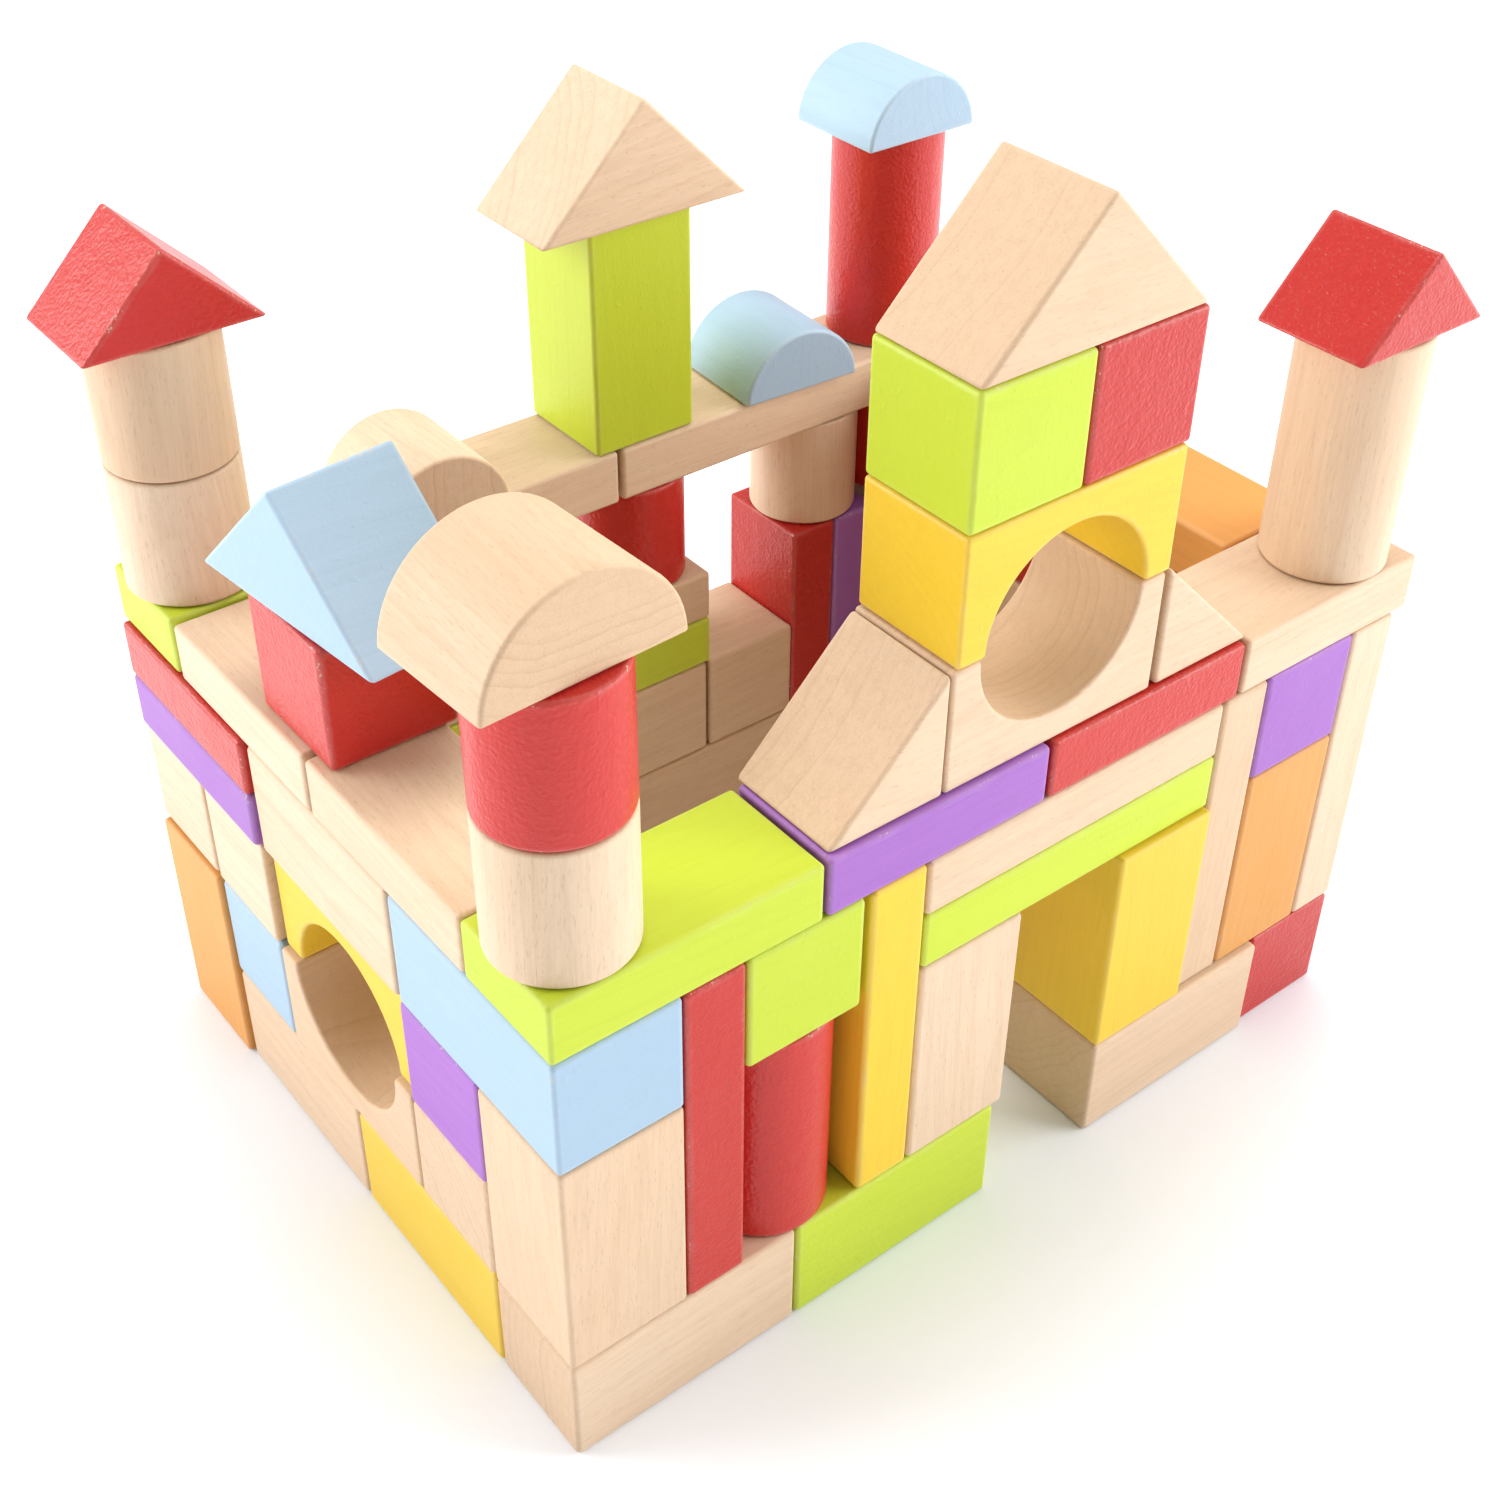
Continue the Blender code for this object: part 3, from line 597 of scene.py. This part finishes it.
def painted(name, colours, cover, peel, sheen):
    """Painted or stained timber. cover is how far the coat hides the timber, peel how rough it lies."""
    s = Finish(f"{name}_paint")
    coat = Vector(getattr(colours, name))
    timber = s.group(timber_group(), grain=s.grain)
    worn = s.group(edge_wear_and_highlight_group(), grain=s.grain, edge=s.edge, amount=0.6)
    film = s.group(paint_film_group(), grain=s.grain, peel=peel)
    show = 1.0 - cover
    toned = s.mix(s.tone, opaque(coat * 1.05), opaque(coat * 0.93))
    ringed = s.mix(s.math("MULTIPLY", timber["Rings"], 0.85 * show), toned, opaque(coat * 0.62))
    streak = s.ramp(timber["Fibres"], 0.40, 0.64)
    streaked = s.mix(s.math("MULTIPLY", streak, 0.75 * show), ringed, opaque(coat * 0.72))
    # A paler tint of the coat: for pale streaks in the grain, and at the edges for rubbed paint together
    # with a painted highlight
    light = coat.lerp(Vector((1.0, 0.96, 0.88)), 0.35)
    drifted = s.mix(s.math("MULTIPLY", timber["Drift"], 0.45 * show), streaked, opaque(light))
    ended = s.mix(s.math("MULTIPLY", s.end, 0.16 + 0.5 * show), drifted, opaque(coat * 0.80))
    # Painted highlight: the edges are made paler, partly as thin rubbed paint and partly as a painted
    # highlight
    rubbed = s.mix(s.math("MULTIPLY", worn["Rubbed And Highlit"], 0.28), ended, opaque(light))
    bare = opaque(Vector(colours.natural) * 0.92)
    s.feed(s.shader.inputs["Base Color"], s.mix(worn["Knocks"], rubbed, bare))
    rough = s.math("MULTIPLY_ADD", film["Gloss Patches"], 0.14, sheen)
    rough = s.math("MULTIPLY_ADD", timber["Fibres"], 0.10 * show, rough)
    rough = s.math("MULTIPLY_ADD", worn["Knocks"], 0.20, rough)
    s.feed(s.shader.inputs["Roughness"], rough)
    height = s.math("MULTIPLY_ADD", timber["Height"], 0.35 + 0.8 * show, film["Height"])
    height = s.math("MULTIPLY_ADD", worn["Knocks"], -0.6, height)
    s.bump(height, RELIEF, 0.6)
    s.shader.inputs["Specular IOR Level"].default_value = 0.34
    return s.material


# How each paint lies on the timber: cover, peel, lowest roughness
PAINTS = {
    "red": (0.93, 2.40, 0.22),
    "green": (0.88, 0.60, 0.36),
    "yellow": (0.82, 0.45, 0.36),
    "blue": (0.84, 0.45, 0.42),
    "purple": (0.74, 0.45, 0.40),
    "orange": (0.72, 0.45, 0.40),
}


def finish_of(colour, colours):
    """The material of this colour, made the first time that it is asked for."""
    name = "bare_timber" if colour == "natural" else f"{colour}_paint"
    if name in bpy.data.materials:
        return bpy.data.materials[name]
    return bare_timber(colours) if colour == "natural" else painted(colour, colours, *PAINTS[colour])


# ---------------------------------------------------------------- making and placing blocks

BODY_OF = {
    node: body for body, nodes in frame["record"]["behaviour"]["bodies"].items() for node in nodes
}
DRUM_SIDES = 96
ROUND_SIDES = 34
ARCH_SIDES = 44
END_SIDE = 0.0034  # longer than an edge's easing and its wear together
TIGHT = 0.00012  # width of the flat band that keeps a face flat up to its rounded edge
ALONG = {"X": 0, "Y": 1, "Z": 2}
SAWN_GRAIN_AND_SHADE = 0.8  # how far a sawn curve shows open grain, where a sawn end is 1. Inside a window opening this darkening is also painted shade


def mark_timber(mesh, middle, along, seed, name):
    """Stores where each point lies in the tree that the block was cut from, and which faces are ends."""
    chance = random.Random(f"{seed} {name}")
    count = len(mesh.vertices)
    points = np.empty(count * 3, np.float32)
    mesh.vertices.foreach_get("co", points)
    points = points.reshape(-1, 3) - np.array(middle, np.float32)
    normals = np.empty(count * 3, np.float32)
    mesh.vertices.foreach_get("normal", normals)
    normals = normals.reshape(-1, 3)
    axis = ALONG[along]
    order = [axis, (axis + 1) % 3, (axis + 2) % 3]
    grain = points[:, order].copy()
    heart = chance.uniform(0.030, 0.105)
    turn = chance.uniform(0, 2 * math.pi)
    for column, offset in ((1, heart * math.cos(turn)), (2, heart * math.sin(turn))):
        grain[:, column] += offset + grain[:, 0] * chance.uniform(-0.07, 0.07)
    grain[:, 0] += chance.uniform(-0.6, 0.6)
    facing = np.abs(normals[:, axis])
    end = np.clip((facing - 0.55) / 0.35, 0, 1)
    tone = np.full(count, chance.random(), np.float32)
    for title, kind, key, values in (
        ("grain", "FLOAT_VECTOR", "vector", grain),
        ("end", "FLOAT", "value", end * end * (3 - 2 * end)),
        ("tone", "FLOAT", "value", tone),
    ):
        layer = mesh.attributes.new(title, kind, "POINT")
        layer.data.foreach_set(key, np.ascontiguousarray(values, np.float32).ravel())


def add_piece(context, name, mesh, node, middle, along):
    """Makes the finished block an object that stands for its CAD node and rides on the node's body."""
    scene = context.scene
    mesh.name = name
    mesh.shade_smooth()
    mark_timber(mesh, middle, along, scene.block_sizes.seed, name)
    mesh.materials.clear()
    mesh.materials.append(finish_of(colour_of(node), scene.block_colours))
    block = bpy.data.objects.new(name, mesh)
    scene.collection.objects.link(block)
    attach(block, BODY_OF[node])
    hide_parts(node)
    return block


def longest(size_of_block, name):
    """Axis of the fibres: the longest side, and for a cube one of the two level ones."""
    across = max(size_of_block)
    sides = [axis for axis, index in ALONG.items() if size_of_block[index] > across - 0.001]
    if len(sides) == 1:
        return sides[0]
    return random.Random(name).choice(sides[:2])


# ---------------------------------------------------------------- cut blocks, by one rule


def cut_block_tree():
    """Geometry nodes that make a rounded block of any size, with how near each point is to an edge."""
    if "Cut block" in bpy.data.node_groups:
        return bpy.data.node_groups["Cut block"]
    tree = bpy.data.node_groups.new("Cut block", "GeometryNodeTree")
    s = Sketch(tree)
    socket(tree, "Geometry", "Geometry", inward=False)
    socket(tree, "Size", "Vector")
    socket(tree, "Edge Radius", "Float", default=0.0011)
    socket(tree, "Steps", "Int", default=3)
    socket(tree, "Band", "Float", default=TIGHT)
    socket(tree, "Wear Width", "Float", default=0.0011)
    socket(tree, "Finish", "Material")
    given = s.node("NodeGroupInput").outputs
    rows = s.math("MULTIPLY_ADD", given["Steps"], 2.0, 6.0)
    cube = s.node("GeometryNodeMeshCube")
    s.feed(cube.inputs["Size"], given["Size"])
    for side in ("Vertices X", "Vertices Y", "Vertices Z"):
        s.feed(cube.inputs[side], rows)
    place = s.node("GeometryNodeInputPosition").outputs[0]
    side = s.vector("SIGN", place)
    half = s.scaled(given["Size"], 0.5)
    spacing = s.vector("DIVIDE", given["Size"], s.same(s.math("SUBTRACT", rows, 1.0)))
    row = s.vector("DIVIDE", s.vector("SUBTRACT", half, s.vector("ABSOLUTE", place)), spacing)
    steps = s.same(given["Steps"])
    # Rows 0 to Steps share the quarter turn evenly, and the two rows inside them are flat
    inner = s.vector("MINIMUM", row, steps)
    turn = s.math("DIVIDE", math.radians(45), given["Steps"])
    outward = s.vector("TANGENT", s.scaled(s.vector("SUBTRACT", steps, inner), turn))
    beyond = s.vector("MAXIMUM", s.vector("SUBTRACT", row, steps), (0.0, 0.0, 0.0))
    first = s.vector("MINIMUM", beyond, (1.0, 1.0, 1.0))
    second = s.vector("MAXIMUM", s.vector("SUBTRACT", beyond, (1.0, 1.0, 1.0)), (0.0, 0.0, 0.0))
    inset = s.vector("ADD", s.scaled(first, given["Band"]), s.scaled(second, given["Wear Width"]))
    core = s.vector("SUBTRACT", s.vector("SUBTRACT", half, s.same(given["Edge Radius"])), inset)
    core = s.vector("MULTIPLY", side, core)
    shell = s.scaled(s.vector("NORMALIZE", s.vector("MULTIPLY", side, outward)), given["Edge Radius"])
    # Nearness to an edge is the middle one of the three nearnesses to an outer face
    near = s.vector("DIVIDE", inner, steps)
    near = s.vector("SUBTRACT", (1.0, 1.0, 1.0), s.scaled(near, 0.3))
    near = s.vector("SUBTRACT", near, s.vector("ADD", s.scaled(first, 0.1), s.scaled(second, 0.6)))
    parts = s.node("ShaderNodeSeparateXYZ")
    s.feed(parts.inputs[0], near)
    x, y, z = parts.outputs
    middle = s.math("MINIMUM", s.math("MAXIMUM", x, y), z)
    middle = s.math("MAXIMUM", s.math("MINIMUM", x, y), middle)
    stored = s.node("GeometryNodeStoreNamedAttribute", data_type="FLOAT", domain="POINT")
    s.feed(stored.inputs["Geometry"], cube.outputs["Mesh"])
    stored.inputs["Name"].default_value = "edge"
    s.feed(stored.inputs["Value"], middle)
    moved = s.node("GeometryNodeSetPosition")
    s.feed(moved.inputs["Geometry"], stored.outputs[0])
    s.feed(moved.inputs["Position"], s.vector("ADD", core, shell))
    dressed = s.node("GeometryNodeSetMaterial")
    s.feed(dressed.inputs["Geometry"], moved.outputs[0])
    s.feed(dressed.inputs["Material"], given["Finish"])
    real = s.node("GeometryNodeRealizeInstances")
    s.feed(real.inputs["Geometry"], dressed.outputs[0])
    s.feed(s.node("NodeGroupOutput").inputs["Geometry"], real.outputs[0])
    return tree


def cut_block_mesh(context, name, sizes, colour):
    """A rounded block round the origin, as a plain mesh."""
    tree = cut_block_tree()
    look = context.scene.block_sizes
    chance = random.Random(f"{look.seed} sanding {name}")
    values = {
        "Size": tuple(sizes),
        "Edge Radius": look.edge_radius * chance.uniform(0.88, 1.15),
        "Steps": (look.rim_segments + 1) // 2,
        "Wear Width": look.wear_width,
        "Finish": finish_of(colour, context.scene.block_colours),
    }
    holder = bpy.data.objects.new(f"{name}_rule", bpy.data.meshes.new(f"{name}_rule"))
    context.scene.collection.objects.link(holder)
    modifier = holder.modifiers.new("Cut block", "NODES")
    modifier.node_group = tree
    keys = {
        item.name: item.identifier for item in tree.interface.items_tree if item.in_out == "INPUT"
    }
    for title, value in values.items():
        modifier[keys[title]] = value
    graph = context.evaluated_depsgraph_get()
    mesh = bpy.data.meshes.new_from_object(holder.evaluated_get(graph), depsgraph=graph)
    holder.modifiers.remove(modifier)
    unused = holder.data
    bpy.data.objects.remove(holder)
    bpy.data.meshes.remove(unused)
    if len(mesh.polygons) == 0:
        raise RuntimeError(f"{name} came out empty")
    return mesh


class CASTLE_OT_cut_blocks(Operator):
    """Cut and ease every cube, long block, column, upright and plank"""

    bl_idname = "castle.cut_blocks"
    bl_label = "Cut Blocks"

    def execute(self, context):
        blocks = [(node, f"{node}_block", low(node), size(node)) for node in CUT_BLOCKS]
        for node, name, corner, sizes in [*blocks, *JOINED_BLOCKS]:
            middle = Vector(corner) + Vector(sizes) / 2
            mesh = cut_block_mesh(context, name, sizes, colour_of(node))
            mesh.transform(Matrix.Translation(middle))
            add_piece(context, name, mesh, node, middle, longest(sizes, name))
        return {"FINISHED"}


# ---------------------------------------------------------------- turned and sawn blocks


def outline_block(outline, depth):
    """A block with this outline in X and Z, as deep as this along Y, its middle on the Z axis."""
    shape = bmesh.new()
    rim = [shape.verts.new((x, -depth / 2, z)) for x, z in outline]
    made = bmesh.ops.extrude_face_region(shape, geom=[shape.faces.new(rim)])
    back = [item for item in made["geom"] if isinstance(item, bmesh.types.BMVert)]
    bmesh.ops.translate(shape, vec=(0, depth, 0), verts=back)
    bmesh.ops.recalc_face_normals(shape, faces=shape.faces)
    return shape


def eased_mesh(shape, radius, look):
    """Rounds the sharp edges of a shape and marks how near each point is to one."""
    nearness = shape.verts.layers.float.new("edge")
    sharp = [edge for edge in shape.edges if edge.calc_face_angle(0) > math.radians(30)]
    made = bmesh.ops.bevel(
        shape,
        geom=sharp,
        offset=radius,
        offset_type="OFFSET",
        segments=look.rim_segments,
        profile=0.5,
        affect="EDGES",
        clamp_overlap=True,
    )
    rounded = set(made["faces"])
    for vertex in shape.verts:
        inside = [face in rounded for face in vertex.link_faces]
        vertex[nearness] = 1.0 if all(inside) else 0.7 if any(inside) else 0.0
    flats = [face for face in shape.faces if face not in rounded]
    for width, value in ((TIGHT, 0.6), (look.wear_width, 0.0)):
        band = bmesh.ops.inset_region(
            shape, faces=flats, thickness=width, use_even_offset=True, use_boundary=True
        )
        ring = {vertex for face in band["faces"] for vertex in face.verts}
        for vertex in {vertex for face in flats for vertex in face.verts} & ring:
            vertex[nearness] = value
    mesh = bpy.data.meshes.new("shape")
    shape.to_mesh(mesh)
    shape.free()
    return mesh


def arc_points(first, last, count, radius):
    """Points on an arc round the origin. Its end sides are longer, to hold the easing of the corners."""
    ended = math.copysign(END_SIDE / radius, last - first)
    start = first + ended
    step = (last - ended - start) / (count - 2)
    angles = [first, *(start + step * index for index in range(count - 1)), last]
    return [(radius * math.cos(angle), radius * math.sin(angle)) for angle in angles]


def footing(node):
    """Middle of a node's underside."""
    bottom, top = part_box(node)
    return Vector(((bottom.x + top.x) / 2, (bottom.y + top.y) / 2, bottom.z))


class CASTLE_OT_drums(Operator):
    """Turn the drums of the towers and walls"""

    bl_idname = "castle.drums"
    bl_label = "Drums"

    def execute(self, context):
        look = context.scene.block_sizes
        drums = [(node, f"{node}_block", footing(node), size(node).z) for node in DRUMS]
        drums += [(node, f"{name}_block", Vector(foot), DRUM_TALL) for node, name, foot in JOINED_DRUMS]
        for node, name, foot, height in drums:
            shape = bmesh.new()
            bmesh.ops.create_cone(
                shape,
                cap_ends=True,
                segments=DRUM_SIDES,
                radius1=DRUM_ACROSS / 2,
                radius2=DRUM_ACROSS / 2,
                depth=height,
                matrix=Matrix.Translation((0, 0, height / 2)),
            )
            mesh = eased_mesh(shape, look.rim_radius, look)
            mesh.transform(Matrix.Translation(foot))
            add_piece(context, name, mesh, node, foot, "Z")
        return {"FINISHED"}


HALF_ROUNDS = {
    "front_left_half_round": 3.0,
    "back_natural_half_round": 0.0,
    "back_blue_half_round": -3.0,
    "back_right_blue_half_round": 0.0,
}
SAW_CUT = 0.0010  # what the saw takes off the flat of each half-round


class CASTLE_OT_half_rounds(Operator):
    """Saw and ease the half-rounds on the towers and the back wall"""

    bl_idname = "castle.half_rounds"
    bl_label = "Half-rounds"

    def execute(self, context):
        look = context.scene.block_sizes
        for node, degrees in HALF_ROUNDS.items():
            radius = size(node).z + SAW_CUT
            first = math.asin(SAW_CUT / radius)
            arc = arc_points(first, math.pi - first, ROUND_SIDES, radius)
            shape = outline_block([(x, z - SAW_CUT) for x, z in arc], CUBE)
            mesh = eased_mesh(shape, look.rim_radius, look)
            foot = footing(node)
            mesh.transform(Matrix.Translation(foot) @ Matrix.Rotation(math.radians(degrees), 4, "Z"))
            add_piece(context, f"{node}_block", mesh, node, foot, "Y")
        return {"FINISHED"}


SMALL_ROOF = (math.sqrt(2) * CUBE, math.sqrt(2) * CUBE / 2)
ROOFS = {  # width, height, degrees turned
    "gatehouse_natural_roof": (LONG, CUBE, 0.0),
    "back_natural_roof": (LONG, CUBE, 0.0),
    "left_house_blue_roof": (LONG, CUBE, 96.0),
    "front_right_red_roof": (*SMALL_ROOF, 0.0),
    "back_left_red_roof": (*SMALL_ROOF, 0.0),
}


class CASTLE_OT_roofs(Operator):
    """Saw and ease the three-sided roofs"""

    bl_idname = "castle.roofs"
    bl_label = "Roofs"

    def execute(self, context):
        look = context.scene.block_sizes
        for node, (width, height, degrees) in ROOFS.items():
            shape = outline_block([(-width / 2, 0), (width / 2, 0), (0, height)], CUBE)
            mesh = eased_mesh(shape, look.roof_radius, look)
            foot = footing(node)
            mesh.transform(Matrix.Translation(foot) @ Matrix.Rotation(math.radians(degrees), 4, "Z"))
            add_piece(context, f"{node}_block", mesh, node, foot, "X")
        return {"FINISHED"}


class CASTLE_OT_ramps(Operator):
    """Saw and ease the two ramps beside the gatehouse"""

    bl_idname = "castle.ramps"
    bl_label = "Ramps"

    def execute(self, context):
        look = context.scene.block_sizes
        for node, climbs in (("gatehouse_left_ramp", 1), ("gatehouse_right_ramp", -1)):
            bottom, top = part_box(node)
            wall = top.x if climbs > 0 else bottom.x  # the upright side is where the box is true
            shape = outline_block([(-climbs * CUBE, 0), (0, 0), (0, CUBE)], CUBE)
            mesh = eased_mesh(shape, look.roof_radius, look)
            foot = Vector((wall, (bottom.y + top.y) / 2, bottom.z))
            mesh.transform(Matrix.Translation(foot))
            add_piece(context, f"{node}_block", mesh, node, foot, "X")
        return {"FINISHED"}


def arch_opening(node):
    """Radius of an arch's opening, from the lowest point over the middle of its underside."""
    bottom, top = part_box(node)
    middle = (bottom.x + top.x) / 2
    over = [v.co.z for v in frame["nodes"][node].data.vertices if abs(v.co.x - middle) < 0.001]
    return min(over) - bottom.z


def mark_sawn_grain_and_shade(mesh, centre, through, radius):
    """Marks the sawn inside of an opening as open grain, darkened with the end-grain colour, which
    inside the opening is also painted shade. It runs through the block along this axis.
    """
    ends = mesh.attributes["end"].data
    for vertex, end in zip(mesh.vertices, ends):
        apart = vertex.co - centre
        apart[through] = 0
        if apart.length < radius + TIGHT:
            end.value = max(end.value, SAWN_GRAIN_AND_SHADE)


class CASTLE_OT_arches(Operator):
    """Saw and ease the four arches of the two round windows"""

    bl_idname = "castle.arches"
    bl_label = "Arches"

    def execute(self, context):
        look = context.scene.block_sizes
        radius = arch_opening("gatehouse_yellow_arch")
        window_low = Vector((X0, WINDOW_Y, level(1)))
        whole = [  # arches that are one CAD node each: the node, degrees turned, upside down
            ("gatehouse_natural_arch", 0, True),
            ("gatehouse_yellow_arch", 0, False),
            ("left_yellow_arch", 90, False),
        ]
        arches = [(node, f"{node}_block", low(node), *way) for node, *way in whole]
        arches.append(("left_front_natural", "left_natural_arch_block", window_low, 90, True))
        for node, name, corner, degrees, inverted in arches:
            arc = arc_points(math.pi, 0, ARCH_SIDES, radius)
            corners = [(LONG / 2, 0), (LONG / 2, CUBE), (-LONG / 2, CUBE), (-LONG / 2, 0)]
            outline = [(x, z - CUBE / 2) for x, z in (*arc, *corners)]
            mesh = eased_mesh(outline_block(outline, CUBE), look.rim_radius, look)
            tipped = Matrix.Rotation(math.pi if inverted else 0, 4, "Y")
            turned = Matrix.Rotation(math.radians(degrees), 4, "Z")
            half = Vector(LONG_Y if degrees else LONG_X) / 2
            mesh.transform(Matrix.Translation(corner + half) @ turned @ tipped)
            block = add_piece(context, name, mesh, node, corner + half, "Y" if degrees else "X")
            open_side = 1 if inverted else -1
            centre = corner + half + Vector((0, 0, open_side * CUBE / 2))
            # Painted shade: the inside of each window opening is darkened with the end-grain colour, on
            # top of its open grain
            mark_sawn_grain_and_shade(block.data, centre, ALONG["X" if degrees else "Y"], radius)
        return {"FINISHED"}


# ---------------------------------------------------------------- stage


FLOOR_HALF = 12.0
FLOOR_GAP = 0.0002  # the floor lies just under the blocks, so the two never flicker
GLOW_NEAR = 0.10  # from the middle of the castle: where the floor's glow starts and where it is full
GLOW_FAR = 0.30
DARK_SIDE = 0.35  # how bright the room is behind the camera, against the rest of it
DARK_TOWARD = (-0.63, -0.78, 0.0)
ROOM_COLOUR = (1.0, 0.965, 0.925, 1.0)
COOL = (0.96, 0.98, 1.0)
WARM = (1.0, 0.95, 0.88)
LIGHT_ACROSS = 0.8
LIGHT_REACH = 1.20  # from the castle to each of the two side lights, along the floor
LIGHT_HEIGHT = 0.58
LEFT_BEARING = 141.0  # degrees round from +X. The side lights stand across from each other
RIGHT_BEARING = LEFT_BEARING - 180.0
TOP_SPOT = (0.15, 0.2, 1.4)
AIM = Vector((0, 0, 0.08))
EYE_SPOT = (-4.4073, -7.4819, 13.2691)  # camera from the castle's corner, in cubes
EYE_RIGHT = (0.7832525, -0.6215398, 0.0142773)
EYE_FORWARD = (0.5059478, 0.6239039, -0.5956180)
EYE_SHIFT = (-0.01373, -0.03728)


def area_light(scene, name, spot, power, colour):
    lamp = bpy.data.lights.new(name, "AREA")
    lamp.shape = "SQUARE"
    lamp.size = LIGHT_ACROSS
    lamp.energy = power
    lamp.color = colour
    made = bpy.data.objects.new(name, lamp)
    scene.collection.objects.link(made)
    made.location = spot
    made.rotation_euler = (AIM - Vector(spot)).to_track_quat("-Z", "Y").to_euler()


def paper_finish(look):
    """White matt paper that glows a little beyond the castle, so the castle's own shadows stay."""
    paper = bpy.data.materials.new("pale_floor")
    paper.use_nodes = True
    s = Sketch(paper.node_tree)
    shader = paper.node_tree.nodes["Principled BSDF"]
    shader.inputs["Base Color"].default_value = opaque(look.floor_colour)
    shader.inputs["Roughness"].default_value = 0.8
    shader.inputs["Specular IOR Level"].default_value = 0.1
    shader.inputs["Emission Color"].default_value = (1.0, 1.0, 1.0, 1.0)
    away = s.vector("LENGTH", s.node("ShaderNodeTexCoord").outputs["Object"])
    glow = s.ramp(away, GLOW_NEAR, GLOW_FAR, 0.0, look.floor_glow)
    s.feed(shader.inputs["Emission Strength"], glow)
    return paper


def lay_floor(scene, look):
    mesh = bpy.data.meshes.new("floor")
    shape = bmesh.new()
    bmesh.ops.create_grid(shape, x_segments=1, y_segments=1, size=FLOOR_HALF)
    shape.to_mesh(mesh)
    shape.free()
    mesh.transform(Matrix.Translation((0, 0, -FLOOR_GAP)))
    floor = bpy.data.objects.new("floor", mesh)
    scene.collection.objects.link(floor)
    mesh.materials.append(paper_finish(look))


def light_room(scene, look):
    """Even light from all round, but weaker from one side, which gives each drum a soft shade."""
    world = bpy.data.worlds.new("surroundings")
    world.use_nodes = True
    s = Sketch(world.node_tree)
    toward = s.node("ShaderNodeVectorMath", operation="DOT_PRODUCT")
    s.feed(toward.inputs[0], s.node("ShaderNodeTexCoord").outputs["Object"])
    s.feed(toward.inputs[1], DARK_TOWARD)
    dimmed = look.sky_strength * DARK_SIDE
    strength = s.ramp(toward.outputs["Value"], 0.0, 0.9, look.sky_strength, dimmed)
    background = world.node_tree.nodes["Background"]
    background.inputs["Color"].default_value = ROOM_COLOUR
    s.feed(background.inputs["Strength"], strength)
    scene.world = world


def hang_lights(scene, look):
    for name, bearing, power in (
        ("left_light", LEFT_BEARING, look.left_power),
        ("right_light", RIGHT_BEARING, look.right_power),
    ):
        turn = math.radians(bearing)
        spot = (LIGHT_REACH * math.cos(turn), LIGHT_REACH * math.sin(turn), LIGHT_HEIGHT)
        area_light(scene, name, spot, power, COOL)
    area_light(scene, "top_light", TOP_SPOT, look.top_power, WARM)


def set_camera(scene, look):
    eye = bpy.data.cameras.new("camera")
    eye.sensor_width = 36.0
    eye.lens = look.lens
    eye.shift_x, eye.shift_y = EYE_SHIFT
    eye.clip_start = 0.01
    eye.clip_end = 50.0
    camera = bpy.data.objects.new("camera", eye)
    forward = Vector(EYE_FORWARD)
    right = Vector(EYE_RIGHT)
    right = (right - forward * right.dot(forward) / forward.length_squared).normalized()
    upward = right.cross(forward).normalized()
    turn = Matrix((right, upward, -forward.normalized())).transposed()
    spot = CORNER + Vector(EYE_SPOT) * CUBE
    camera.matrix_world = Matrix.Translation(spot) @ turn.to_4x4()
    scene.collection.objects.link(camera)
    scene.camera = camera


class CASTLE_OT_stage(Operator):
    """Lay the pale floor, hang the soft lights and set up the camera"""

    bl_idname = "castle.stage"
    bl_label = "Stage"

    def execute(self, context):
        scene = context.scene
        for step in (lay_floor, light_room, hang_lights, set_camera):
            step(scene, scene.castle_stage)
        scene.view_settings.view_transform = "Standard"
        return {"FINISHED"}


# ---------------------------------------------------------------- add-on


class CASTLE_PT_blocks(Panel):
    """Lists the castle's blocks, colours and stage"""

    bl_label = "Toy Block Castle"
    bl_idname = "CASTLE_PT_blocks"
    bl_space_type = "VIEW_3D"
    bl_region_type = "UI"
    bl_category = "Castle"

    def draw(self, context):
        layout = self.layout
        for title, values in (
            ("Blocks", context.scene.block_sizes),
            ("Colours", context.scene.block_colours),
            ("Stage", context.scene.castle_stage),
        ):
            box = layout.box()
            box.label(text=title)
            for name in values.__annotations__:
                box.prop(values, name)
        for step in STEPS:
            layout.operator(f"castle.{step}")


STEPS = ("cut_blocks", "drums", "arches", "half_rounds", "roofs", "ramps", "stage")
CLASSES = (
    BlockSizes,
    BlockColours,
    CastleStage,
    CASTLE_OT_cut_blocks,
    CASTLE_OT_drums,
    CASTLE_OT_arches,
    CASTLE_OT_half_rounds,
    CASTLE_OT_roofs,
    CASTLE_OT_ramps,
    CASTLE_OT_stage,
    CASTLE_PT_blocks,
)


def register():
    for each in CLASSES:
        bpy.utils.register_class(each)
    bpy.types.Scene.block_sizes = PointerProperty(type=BlockSizes)
    bpy.types.Scene.block_colours = PointerProperty(type=BlockColours)
    bpy.types.Scene.castle_stage = PointerProperty(type=CastleStage)


def unregister():
    del bpy.types.Scene.castle_stage
    del bpy.types.Scene.block_colours
    del bpy.types.Scene.block_sizes
    for each in reversed(CLASSES):
        bpy.utils.unregister_class(each)


def main():
    register()
    for step in STEPS:
        getattr(bpy.ops.castle, step)()


if __name__ == "__main__":
    main()
